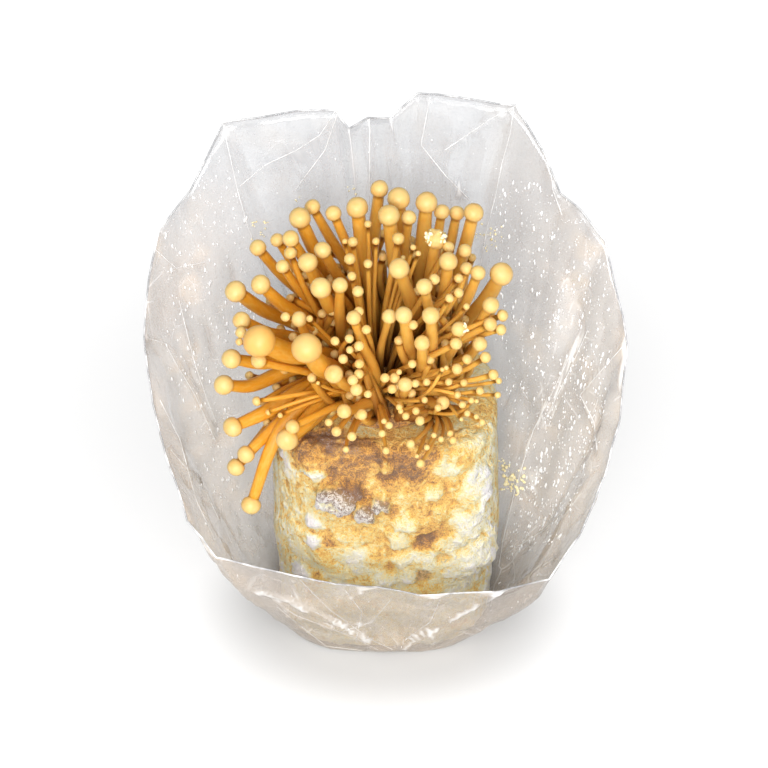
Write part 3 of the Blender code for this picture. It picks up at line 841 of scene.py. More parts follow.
@dataclass
class Clump:
    """All the mushrooms of the clump: the single ones of the frame, and the young ones between."""

    view: PhotoView
    flesh: bpy.types.Material
    crumb: bpy.types.Material
    sides: int = 16
    rings: int = 37
    young_sides: int = 10
    young_rings: int = 27
    crumb_seed: int = 5
    grown: list[Mushroom] = field(default_factory=list)

    def trace(self, node: str) -> Mushroom:
        """Reads a mushroom's centreline, girths and cap from its solid.

        Args:
            node: The CAD node.

        Returns:
            The mushroom.
        """
        solid = merged(node)
        start = Vector((0, 0, self.view.aim[2] * MM))
        for tip in sorted(solid.verts, key=lambda v: (start - v.co).length, reverse=True):
            layers = self.layers_from(tip)[::-1]
            if len({len(layer) for layer in layers[:-1]}) == 1:
                break
        centres = np.array([np.mean([v.co for v in layer], axis=0) for layer in layers])
        radii = np.array([
            np.mean([np.linalg.norm(np.array(v.co) - centre) for v in layer])
            for layer, centre in zip(layers, centres)
        ])
        solid.free()
        facing = unit(centres[-1] - centres[-4])
        cap = radii[-3]
        knots = centres[:-4].copy()
        knots[-1] = centres[-3] - facing * 0.35 * cap
        seen = self.view.seen(centres[-1])
        form = CapForm.FRILLED if self.is_at(seen, FRILLED_AT) else CapForm.ROUND
        seed = int(node.split("_")[1])
        return Mushroom(
            knots, radii[:-4], cap, self.turned(facing), self.amber_at(seen[0]), seed, form
        )

    @staticmethod
    def is_at(seen: Sequence[float], spot: tuple[float, float]) -> bool:
        """Tells whether what is seen there, by column and row, is the cap at that spot."""
        return math.hypot(seen[0] - spot[0], seen[1] - spot[1]) < FOUND_WITHIN

    @staticmethod
    def layers_from(start: bmesh.types.BMVert) -> list[list[bmesh.types.BMVert]]:
        """Walks a mesh outwards from a vertex.

        Args:
            start: The first vertex.

        Returns:
            Its vertices, by the number of edges from the first one.
        """
        seen, layers = {start}, [[start]]
        while True:
            found = []
            for vert in layers[-1]:
                for edge in vert.link_edges:
                    other = edge.other_vert(vert)
                    if other not in seen:
                        seen.add(other)
                        found.append(other)
            if not found:
                return layers
            layers.append(found)

    def turned(self, facing: np.ndarray) -> np.ndarray:
        """Turns a cap that would show its underside a little towards the light."""
        back = np.array(self.view.axes()[2])
        return unit(facing + back * max(0.0, 0.5 - facing.dot(back)))

    def swell(self, samples: int = 16, play: float = 0.15) -> None:
        """Thickens each stem into the room that its neighbours leave.

        Args:
            samples: How many places along a stem are measured.
            play: How far two stems may press together, in mm.
        """
        shares = np.linspace(0, 1, samples)
        lines = [curve_through(m.knots, shares) for m in self.grown]
        girths = [curve_through(m.girths, shares) for m in self.grown]
        for m, line, girth in zip(self.grown, lines, girths):
            others = np.concatenate([other for other in lines if other is not line])
            widths = np.concatenate([other for other in girths if other is not girth])
            apart = np.linalg.norm(line[:, None] - others[None], axis=-1)
            gaps = (apart - widths[None]).min(1) - girth
            want = m.cap * np.interp(shares, (0, 0.35, 0.8, 1), (0.82, 0.78, 0.68, 0.58))
            wide = np.clip(girth + gaps / 2 + play * MM, girth, np.maximum(want, girth))
            m.knots = line
            m.girths = np.convolve(np.pad(wide, 1, "edge"), (0.25, 0.5, 0.25), "valid")

    @staticmethod
    def amber_at(column: float) -> float:
        """Gives a stem's share of deep amber, which falls from left to right."""
        return 0.92 - 0.72 * eased(column, 250, 440)

    def build(self, foot: BVHTree) -> None:
        """Makes the mushrooms, then the young ones between them.

        Args:
            foot: The foot's surface, which the young ones grow from.
        """
        tube = Tube(self.sides, self.rings)
        names = sorted(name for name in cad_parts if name.startswith("mushroom_"))
        self.grown = [self.trace(name) for name in names]
        self.swell()
        for name, mushroom in zip(names, self.grown):
            piece = name.replace("mushroom", "enoki")
            as_piece(mushroom.mesh(tube), piece, self.flesh, [name])
        log.info("%d single mushrooms", len(names))
        young = YoungOnes(self.view, self.grown).build(foot)
        thin = Tube(self.young_sides, self.young_rings)
        mesh = joined((item.mesh(thin) for item in young), "young_mushrooms")
        as_piece(mesh, "young_mushrooms", self.flesh)
        log.info("%d young mushrooms", len(young))
        self.crumbs()

    def crumbs(self) -> None:
        """Sets the torn white crumbs on the caps that carry them."""
        whole = bmesh.new()
        rng = np.random.default_rng(self.crumb_seed)
        for mushroom in self.grown:
            seen = self.view.seen(mushroom.knots[-1] + mushroom.facing * mushroom.cap)
            broken = mushroom.form is CapForm.FRILLED
            if not broken and not self.is_at(seen, DUSTED_AT):
                continue
            middle = Vector(mushroom.knots[-1] + mushroom.facing * 0.4 * mushroom.cap)
            right, up, back = self.view.axes()
            for number in range(30 if broken else 9):
                turn = rng.normal() * 0.55 + (math.pi * 1.1 if number % 3 else -0.2) * broken
                away = right * math.cos(turn) + up * math.sin(turn) + back * rng.uniform(-0.2, 1.2)
                size = mushroom.cap * rng.uniform(0.07, 0.26)
                place = middle + away.normalized() * mushroom.cap * rng.uniform(0.92, 1.1)
                grain(whole, place, size, rng)
        as_piece(from_bmesh(whole, "cap_crumbs"), "cap_crumbs", self.crumb)


def grain(whole: bmesh.types.BMesh, place: Vector, size: float, rng: np.random.Generator) -> None:
    """Adds one small uneven grain to a mesh.

    Args:
        whole: The mesh.
        place: Its middle.
        size: Its radius.
        rng: Where its form comes from.
    """
    turn = Matrix.Rotation(rng.uniform(0, 6), 4, Vector(rng.normal(size=3)).normalized())
    scale = Matrix.Diagonal((*rng.uniform(0.6, 1.3, 3) * size, 1))
    made = bmesh.ops.create_icosphere(
        whole, subdivisions=1, radius=1, matrix=Matrix.Translation(place) @ turn @ scale
    )
    for vert in made["verts"]:
        vert.co += (vert.co - place) * rng.uniform(-0.25, 0.35)


# Column, row and width of each young mushroom's cap in the picture
YOUNG = (
    (291, 254.5, 13.5), (242, 333, 12), (240, 342, 8), (260, 361, 16), (294, 426, 15),
    (286, 317, 10), (310, 319, 7), (359, 312, 10.5), (389, 317, 15.5), (398, 240, 13),
    (448, 248, 12), (434, 280, 11.5), (466, 270, 13.5), (458, 279, 10), (458, 293, 10.5),
    (449, 299, 9.5), (501, 316, 12.5), (489, 325, 14.5), (500, 330, 11.5), (466, 307, 7),
    (455, 344, 13), (484.5, 358, 12), (466, 360, 10.5), (456, 369, 11.5), (412, 364, 9),
    (492, 375, 11.5), (498, 381, 7), (497, 395, 7), (479, 391, 8.5), (448, 382, 8), (463, 383, 8),
    (426, 382, 8), (385, 378, 10), (394.5, 378, 11), (415, 383.5, 8.5), (392, 389, 10),
    (399, 372, 6), (356.5, 389, 13), (353, 380, 11.5), (359, 374, 10.5), (359, 364, 10),
    (343, 359, 10), (368, 394, 8.5), (359, 346, 10.5), (350, 350, 8), (349, 339, 9.5),
    (335, 341, 9.5), (366.5, 330, 10), (358, 292, 12), (352, 277, 9.5), (350, 260, 12),
    (353, 243, 11), (368, 264.5, 9.5), (376, 242, 8), (368, 225, 8), (438, 408, 8),
    (456.5, 394.5, 8), (462, 404.5, 8), (471, 401, 7), (476, 401, 5), (424, 400, 7),
    (416, 411, 8), (406, 416, 8), (399, 407, 7), (401, 411, 6), (420, 421, 10), (362, 415, 11.5),
    (329, 422, 8.5), (337, 431, 11), (352, 436, 10), (346, 449, 7), (382, 433, 8), (389, 425, 8),
    (384, 421, 6), (386, 450, 8), (411, 443.5, 9.5), (427, 447, 6.5), (421, 463, 9),
    (417, 456, 5), (450, 433, 7), (453, 440, 8), (441, 439, 6.5), (434, 435, 6), (467, 413.5, 7),
    (476, 416.5, 6), (482, 422, 7), (461, 419, 4.5), (258, 401, 10), (281, 415, 6), (269, 412, 6),
    (442, 370, 5), (446, 368, 5), (413, 248, 6.5), (418, 254, 6), (345, 242, 6), (413, 325, 10),
    (318, 383, 4), (403, 258, 5),
)


@dataclass
class YoungOnes:
    """The small mushrooms that fill the clump, each grown between the single ones."""

    view: PhotoView
    grown: list[Mushroom]
    tries: int = 48
    samples: int = 14
    above: float = 0.3
    heart: tuple[float, float] = (378.0, 398.0)
    star: tuple[float, float] = (430.0, 408.0)
    young_draws: int = 900
    young_seed: int = 100
    hidden_draws: int = 2000
    hidden_seed: int = 300
    hidden_cap: float = 2.4

    def build(self, foot: BVHTree) -> list[Mushroom]:
        """Grows every young mushroom.

        Args:
            foot: The surface that they stand on.

        Returns:
            The young mushrooms.
        """
        heads = np.array([self.view.seen(m.knots[-1] + m.facing * m.cap) for m in self.grown])
        shares = np.linspace(self.above, 1, self.samples)
        lines = [curve_through(m.knots, shares) for m in self.grown]
        widths = [curve_through(m.girths, shares) for m in self.grown]
        for m, line, width in zip(self.grown, lines, widths):
            line[-1] += m.facing * m.cap * 0.5
            width[-1] = m.cap
        young = []
        for number, (column, row, wide) in enumerate(YOUNG):
            rng = np.random.default_rng(self.young_draws + number)
            apart = np.hypot(heads[:, 0] - column, heads[:, 1] - row) + 6
            near = np.argsort(apart)[:4]
            out = float((heads[near, 2] / apart[near]).sum() / (1 / apart[near]).sum()) - 5
            head = np.array(self.view.place(column, row, out))
            cap = wide / 2 * self.view.scale * (1 - out / self.view.distance) * MM
            start = self.footing(column, row, foot)
            knots, girths = self.course(start, head, cap, rng, lines, widths)
            facing = unit(knots[-1] - knots[-2])
            young.append(Mushroom(
                knots, girths, cap, facing, Clump.amber_at(column), self.young_seed + number
            ))
            lines.append(curve_through(knots, shares))
            widths.append(curve_through(girths, shares))
            widths[-1][-1] = cap
        return young + self.hidden(lines, widths)

    def hidden(self, lines: list[np.ndarray], widths: list[np.ndarray]) -> list[Mushroom]:
        """Fills the heart of the clump with short ones that stay behind the grown stems.

        Args:
            lines: The courses of all stems so far.
            widths: Their radii.

        Returns:
            The hidden ones.
        """
        back = np.array(self.view.axes()[2])
        found = []
        for number, m in enumerate(self.grown):
            for step, share in enumerate((0.46, 0.6, 0.74)):
                rng = np.random.default_rng(self.hidden_draws + 10 * number + step)
                spot = curve_through(m.knots, np.array([share, share - 0.05]))
                girth = float(curve_through(m.girths, np.array([share]))[0])
                across = unit(np.cross(back, spot[0] - spot[1]))
                head = spot[0] - back * girth * rng.uniform(1.6, 2.6)
                head = head + across * girth * rng.choice((-1, 1)) * 1.5
                start = m.knots[0] + rng.normal(size=3) * (2 * MM, 2 * MM, 0)
                cap = min(1.1 * girth, self.hidden_cap * MM)
                knots, girths = self.course(start, head, cap, rng, lines, widths)
                facing = unit(knots[-1] - knots[-2])
                girths = girths / girths[-1] * cap * 0.78
                seed = self.hidden_seed + number
                # The hidden ones get a deeper painted shade
                found.append(Mushroom(knots, girths, cap, facing, m.amber, seed, depth=0.5))
                shares = np.linspace(self.above, 1, self.samples)
                lines.append(curve_through(knots, shares))
                widths.append(curve_through(girths, shares))
        return found

    def footing(self, column: float, row: float, foot: BVHTree) -> np.ndarray:
        """Finds where on the foot a young mushroom starts.

        Args:
            column: Its cap's column.
            row: Its cap's row.
            foot: The foot's surface.

        Returns:
            The place, just under the surface.
        """
        low_right = column > 400 and row > 405
        middle = self.star if low_right else self.heart
        away = math.hypot(column - middle[0], row - middle[1])
        share = 0.22 if away > 60 else 0.32
        spot = [centre + (at - centre) * share for centre, at in zip(middle, (column, row))]
        sight = self.view.sight(*spot)
        place = foot.ray_cast(self.view.eye(), sight)[0]
        if place is None:
            place = foot.find_nearest(self.view.place(*spot, 25.0))[0]
        return np.array(place) + np.array(sight) * 1.5 * MM

    def course(
        self, start: np.ndarray, head: np.ndarray, cap: float, rng: np.random.Generator,
        lines: list[np.ndarray], widths: list[np.ndarray],
    ) -> tuple[np.ndarray, np.ndarray]:
        """Chooses a bowed course that keeps clear of the other stems.

        Args:
            start: The foot.
            head: The cap's place.
            cap: The cap's radius.
            rng: Where the tries come from.
            lines: Points on each of the other stems.
            widths: The other stems' radii there.

        Returns:
            The stem's knots and their girths.
        """
        others, wide = np.concatenate(lines), np.concatenate(widths)
        reach = np.linalg.norm(head - start)
        up = unit(np.array((start[0] * 0.8, start[1] * 0.8, 0.03)))
        girth = max(0.52 * cap, 1.0 * MM)
        shares = np.linspace(0, 1, 7)[:, None]
        best, kept = -1e9, None
        for number in range(self.tries):
            bend = rng.normal(size=3) * reach * 0.10 * (number > 0)
            leave = start + up * reach * 0.35 + bend
            arrive = head - (head - start) * 0.3 + up * reach * 0.04 + bend * 0.7
            points = (
                (1 - shares) ** 3 * start + 3 * (1 - shares) ** 2 * shares * leave
                + 3 * (1 - shares) * shares**2 * arrive + shares**3 * head
            )
            gaps = np.linalg.norm(points[2:, None] - others[None], axis=-1) - wide[None] - girth
            gaps[-1] -= cap - girth
            score = min(gaps.min(), 0.6 * MM) - np.linalg.norm(bend) * 0.01
            if score > best:
                best, kept = score, points
        girths = girth * np.array((1.25, 1.12, 1.05, 1.0, 0.97, 0.95, 0.93))
        return kept, girths


@dataclass
class ClumpFoot:
    """The knobbly foot that all the mushrooms share."""

    finish: bpy.types.Material
    radius: float = 36.0
    height: float = 14.0
    gap: float = 0.3
    growth: tuple[float, float, float, float] = (0.2, 0.1, 0.0, 1.0)

    def build(self) -> BVHTree:
        """Makes the foot.

        Returns:
            Its surface.
        """
        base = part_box("substrate_block")[1].z + self.gap * MM
        dome = bmesh.new()
        bmesh.ops.create_icosphere(dome, subdivisions=6, radius=1)
        below = [v for v in dome.verts if v.co.z < -0.05]
        bmesh.ops.delete(dome, geom=below, context="VERTS")
        rim = [e for e in dome.edges if e.is_boundary]
        lid = bmesh.ops.holes_fill(dome, edges=rim, sides=0)["faces"]
        bmesh.ops.triangulate(dome, faces=lid)
        size = Vector((self.radius, self.radius, self.height))
        for vert in dome.verts:
            spot = vert.co.copy()
            vert.co = Vector((spot.x, spot.y, max(0, spot.z))) * size * MM
            vert.co.z += base
            if spot.z > 0:
                knob = noise.noise(spot * 5) * 1.6 + abs(noise.noise(spot * 11)) * 1.8
                vert.co += Vector((spot.x * 0.4, spot.y * 0.4, 1)) * knob * MM * min(1, spot.z * 4)
        bmesh.ops.recalc_face_normals(dome, faces=dome.faces)
        tree = BVHTree.FromBMesh(dome)
        mesh = from_bmesh(dome, "clump_foot")
        count = len(mesh.vertices)
        note(mesh, "growth", "FLOAT_COLOR", np.tile(self.growth, (count, 1)))
        as_piece(mesh, "clump_foot", self.finish, ["clump_base"])
        log.info("clump foot: %d vertices", count)
        return tree


class Patch(Enum):
    """What has grown on one place of the block: its tone, from brown to white, or a grey mould."""

    BROWN = 0.10
    ORANGE = 0.30
    YELLOW = 0.45
    CREAM = 0.74
    WHITE = 1.00
    GREY = 0.50
    PLAIN = 0.60


# Column, row and radius in the picture, what grows there, its strength and its rise in mm
# The brown spots sunk just below and right of the grey knobs and right of the ridge are painted
# shadows; the brown ones along the top under the clump are partly painted shade
SPOTS = (
    (325, 434, 26, Patch.BROWN, 0.8, 0.0), (398, 468, 28, Patch.ORANGE, 0.7, 0.0),
    (360, 457, 24, Patch.ORANGE, 0.8, 0.0), (430, 474, 22, Patch.ORANGE, 0.6, 0.0),
    (340, 490, 26, Patch.YELLOW, 0.8, 0.0), (352, 512, 14, Patch.BROWN, 0.6, -1.0),
    (392, 508, 12, Patch.BROWN, 0.7, -0.5),
    (341, 492, 19, Patch.GREY, 1.0, 9.0), (367, 508, 13, Patch.GREY, 0.9, 6.0),
    (381.5, 500.5, 11, Patch.GREY, 0.8, 5.0), (440, 450, 24, Patch.YELLOW, 0.6, 0.0),
    (428, 530, 24, Patch.ORANGE, 0.85, 0.0), (446, 500, 16, Patch.ORANGE, 0.6, 0.0),
    (407, 523, 13, Patch.PLAIN, 1, 4.5),
    (400, 537, 15, Patch.PLAIN, 1, 4.0), (402, 556, 13, Patch.PLAIN, 1, 3.5),
    (426, 541, 15, Patch.BROWN, 0.9, -2.5), (436, 545, 9, Patch.ORANGE, 1.0, 1.5),
    (470, 519, 25, Patch.CREAM, 1.0, 3.6), (481, 545, 29, Patch.CREAM, 1.0, 4.0),
    (464, 562, 27, Patch.CREAM, 1.0, 2.6), (486, 574, 24, Patch.CREAM, 1.0, 2.6),
    (475, 485, 28, Patch.CREAM, 0.8, 4.5), (478, 490, 12, Patch.WHITE, 0.7, 0.0),
    (468, 496, 14, Patch.YELLOW, 0.8, 0.0), (463, 447, 27, Patch.YELLOW, 0.55, 2.5),
    (458, 462, 12, Patch.BROWN, 0.4, -0.5), (478, 452, 12, Patch.YELLOW, 0.7, 0.0),
    (474, 468, 12, Patch.WHITE, 0.6, 1.0), (430, 536, 24, Patch.BROWN, 0.5, -1.0),
    (445, 466, 15, Patch.WHITE, 0.5, 1.5), (430, 490, 13, Patch.PLAIN, 1, 3.5),
    (312, 456, 17, Patch.ORANGE, 1.0, 5.0), (309, 449, 12, Patch.BROWN, 0.7, 0.5),
    (331, 437, 18, Patch.GREY, 0.8, 3.0), (305, 433, 12, Patch.BROWN, 0.7, 1.0),
    (350, 443, 15, Patch.GREY, 0.6, 2.0), (317, 471, 13, Patch.WHITE, 0.9, 3.0),
    (288, 453, 12, Patch.WHITE, 1.0, 1.5), (292, 470, 14, Patch.WHITE, 0.6, 1.0),
    (316, 521, 12, Patch.WHITE, 1.0, 3.0), (315, 539, 11, Patch.WHITE, 1.0, 3.0),
    (324, 556, 14, Patch.ORANGE, 1.0, 2.5), (331, 541, 10, Patch.BROWN, 0.9, -0.5),
    (302, 568, 13, Patch.WHITE, 1.0, 2.0), (320, 575, 9, Patch.BROWN, 0.8, 0.5),
    (353, 539, 27, Patch.YELLOW, 0.65, 0.5), (371, 529, 18, Patch.ORANGE, 0.55, 0.5),
    (359, 556, 15, Patch.WHITE, 0.45, 0.5), (373, 557, 13, Patch.ORANGE, 0.8, 0.5),
    (384, 577, 13, Patch.PLAIN, 1, 3.5), (388, 564, 9, Patch.BROWN, 0.6, 0.0),
    (406, 574, 11, Patch.PLAIN, 1, 3.5), (415, 563, 11, Patch.ORANGE, 0.8, 1.0),
    (424, 574, 11, Patch.GREY, 0.6, -1.5), (431, 587, 13, Patch.ORANGE, 0.8, 1.5),
    (361, 579, 15, Patch.ORANGE, 0.8, 1.0), (343, 572, 14, Patch.YELLOW, 0.8, 1.0),
    (353, 466, 17, Patch.ORANGE, 0.85, 1.0), (340, 468, 12, Patch.ORANGE, 0.8, 0.0),
    (366, 447, 17, Patch.BROWN, 0.6, 2.5), (402, 462, 17, Patch.BROWN, 0.55, 0.5),
    (414, 474, 12, Patch.BROWN, 0.6, 3.0), (386, 473, 11, Patch.BROWN, 0.75, -2.0),
    (394, 483, 13, Patch.ORANGE, 0.7, 0.5), (379, 519, 14, Patch.YELLOW, 0.8, 0.0),
    (422, 511, 16, Patch.ORANGE, 0.85, 0.5), (441, 512, 13, Patch.ORANGE, 0.9, 1.5),
    (414, 494, 16, Patch.YELLOW, 0.9, 0.0), (438, 502, 13, Patch.YELLOW, 0.8, 0.5),
    (448, 437, 16, Patch.GREY, 0.4, 0.5), (428, 452, 12, Patch.BROWN, 0.7, 1.0),
    (452, 530, 9, Patch.YELLOW, 0.6, -1.5), (444, 556, 10, Patch.GREY, 0.4, -2.0),
    (385, 465, 8, Patch.ORANGE, 1.0, 5.0), (379, 458, 5, Patch.BROWN, 0.9, 1.0),
)


@dataclass
class SubstrateBlock:
    """The block: its solid made fine, with lumps, felt, the patches that grow on it and painted
    light and shade.
    """

    view: PhotoView
    finish: bpy.types.Material
    cuts: int = 7
    passes: int = 5
    felt: float = 1.05
    painted_relief_shade: float = 0.05
    blur: int = 40
    knob: float = 4.8

    def relief(self, block: bmesh.types.BMesh, heights: np.ndarray) -> np.ndarray:
        """Gives how far each vertex stands above what lies around it, in mm.

        Args:
            block: The block's mesh.
            heights: How far each vertex is raised.

        Returns:
            The relief, above 0 on tops and below 0 in hollows.
        """
        block.verts.index_update()
        ends = np.array([[vert.index for vert in edge.verts] for edge in block.edges])
        ends = np.concatenate((ends, ends[:, ::-1]))
        links = np.bincount(ends[:, 0], minlength=len(heights))
        around = heights.copy()
        for _ in range(self.blur):
            around = np.bincount(ends[:, 0], around[ends[:, 1]], len(heights)) / links
        return heights - around

    def build(self) -> BVHTree:
        """Makes the block.

        Returns:
            Its surface.
        """
        block = merged("substrate_block")
        coarse = BVHTree.FromBMesh(block)
        refine(block, self.cuts)
        even_out(block, block.verts, self.passes)
        spots = []
        for column, row, radius, patch, strength, rise in SPOTS:
            hit = coarse.ray_cast(self.view.eye(), self.view.sight(column, row))[0]
            if hit is not None:
                out = self.view.seen(hit)[2]
                reach = radius * self.view.scale * (1 - out / self.view.distance) * MM
                spots.append((hit, reach, patch, strength, rise * MM))
        growth = np.ones((len(block.verts), 4))
        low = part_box("substrate_block")[0]
        shaped = np.array([self.shape(vert, spots) for vert in block.verts])
        growth[:, :3] = shaped[:, 1:]
        # Painted light and shade: the tops of the relief are made paler and its hollows darker
        growth[:, 0] += self.relief(block, shaped[:, 0]) * self.painted_relief_shade
        for vert, height in zip(block.verts, shaped[:, 0]):
            vert.co += vert.normal * height * MM
            vert.co.z = max(vert.co.z, low.z)
        tree = BVHTree.FromBMesh(block)
        mesh = from_bmesh(block, "grown_block")
        note(mesh, "growth", "FLOAT_COLOR", growth)
        as_piece(mesh, "grown_block", self.finish, ["substrate_block"])
        log.info("block: %d vertices", len(growth))
        return tree

    @staticmethod
    def knobs(spot: Vector, size: float) -> float:
        """Gives a height pattern of rounded knobs.

        Args:
            spot: The place in mm.
            size: The knobs' size in mm.

        Returns:
            The height, 0 to 1.
        """
        near = noise.voronoi(spot / size)[0][0]
        return math.sqrt(max(0.0, 1 - near * near))

    def shape(self, vert: bmesh.types.BMVert, spots: list) -> tuple[float, float, float, float]:
        """Gives how far a vertex of the block is raised, what grows there and the painted light and
        shade on it.

        Args:
            vert: The vertex.
            spots: The placed spots.

        Returns:
            The height in mm, the tone with its painted light and shade, the grey mould's share and
            the streaks' share.
        """
        spot = vert.co / MM
        bent = spot + noise.noise_vector(spot / 7) * 3
        rough = self.knobs(bent, 11) * 2.4 + self.knobs(bent, 4.6) * 1.5
        rough += noise.noise(bent / 1.9) * 0.9
        patches = noise.noise(spot / 21 + Vector((3, 8, 1)))
        tone = 0.5 + (rough - 2.9) * 0.09 + patches * 0.26
        lift, grey = 0.0, 0.0
        for centre, reach, patch, strength, rise in spots:
            share = (vert.co - centre).length / reach
            if share < 1.4:
                share += 0.4 * noise.noise(spot / 6) + 0.25 * noise.noise(spot / 2.2)
                fall = max(0.0, 1 - share * share)
                lift += rise * (math.sqrt(fall) if rise > self.knob * MM else fall)
                weight = min(1.0, fall * 1.5) * strength
                want = patch.value
                if patch is Patch.GREY:
                    grey = max(grey, weight)
                    # Painted light and shade, partly the mould's own colour: a raised grey knob is
                    # paler on its lower left and browner on its upper right
                    right, up, _ = self.view.axes()
                    pale = (centre - vert.co).dot(right + up * 1.2) / reach
                    want = 0.5 + 0.6 * pale if rise > self.knob * MM else 0.2
                tone += (want - tone) * weight * 0.8
        front = eased(-vert.normal.y, 0.1, 0.6)
        side = eased(abs(vert.normal.x), 0.4, 0.8)
        # Painted light low on the block, where the front flap shades it, and painted shade near the
        # top on the left front under the clump, partly its browner growth
        tone += 0.08 * (1 - eased(spot.z, 50, 95))
        tone -= 0.15 * eased(spot.z, 108, 142) * (1 - eased(spot.x, 15, 40)) * front
        height = lift / MM * front + (rough * self.felt - 1.2) * (0.2 + 0.8 * front) - 0.4
        return height, tone + side * 0.08, grey, side


# Points in the picture along each crease of the film, with its rise towards the camera and its
# half width, both in mm
CREASES = (
    (((222, 120), (228, 147), (237, 188), (247, 224), (251, 235), (284, 325)), 1.6, 7),
    (((514, 106), (510, 134), (502, 163), (494, 202), (488, 223), (484, 245), (470, 325)), 1.6, 7),
    (((369.5, 114), (369.5, 150), (369.5, 200), (369.5, 240)), 0.5, 1.6),
    (((338, 107), (320, 135), (297, 150), (265, 165), (240, 186)), 1.5, 6),
    (((337, 115), (325, 150), (295, 190)), 1.2, 5),
    (((514, 107), (490, 119), (470, 133), (445, 150)), 1.8, 6),
    (((430, 97), (421, 145), (445, 175), (470, 200)), 1.4, 6),
    (((144, 337), (165, 343), (175, 362), (195, 395), (215, 440)), 2.2, 7),
    (((179, 300), (186, 329), (194, 361), (209, 405), (216, 422)), 1.2, 5),
    (((171, 450), (205, 490), (219, 520)), 1.6, 5),
    (((579, 336), (556, 385), (533, 431), (515, 490), (503, 540), (499, 566)), 1.3, 4),
    (((504, 555), (544, 530), (560, 515), (596, 473)), 1.6, 5),
    (((624, 345), (600, 372), (580, 395), (594, 422), (597, 450)), 1.4, 5),
    (((400, 653), (342, 626), (300, 604), (278, 596), (255, 590)), 1.7, 5),
    (((400, 653), (413, 642), (452, 616), (500, 590), (560, 560)), 1.7, 5),
    (((345, 590), (362, 612), (356, 640)), 1.0, 4),
    (((392, 598), (372, 622), (340, 632)), 0.9, 4),
    (((300, 580), (330, 610), (372, 640)), 0.9, 4),
    (((440, 600), (430, 622), (405, 640)), 0.9, 4),
    (((156, 250), (176, 268), (205, 262)), 1.0, 5),
    (((548, 150), (553, 190), (562, 215)), 1.2, 5),
    (((160, 400), (180, 440), (196, 500), (215, 540)), 1.3, 6),
    (((588, 330), (566, 378), (545, 420)), 1.0, 3),
    (((277, 607), (326, 646), (398, 655)), 1.0, 4),
    (((260, 590), (295, 615), (353, 637), (378, 650)), 0.8, 3),
)


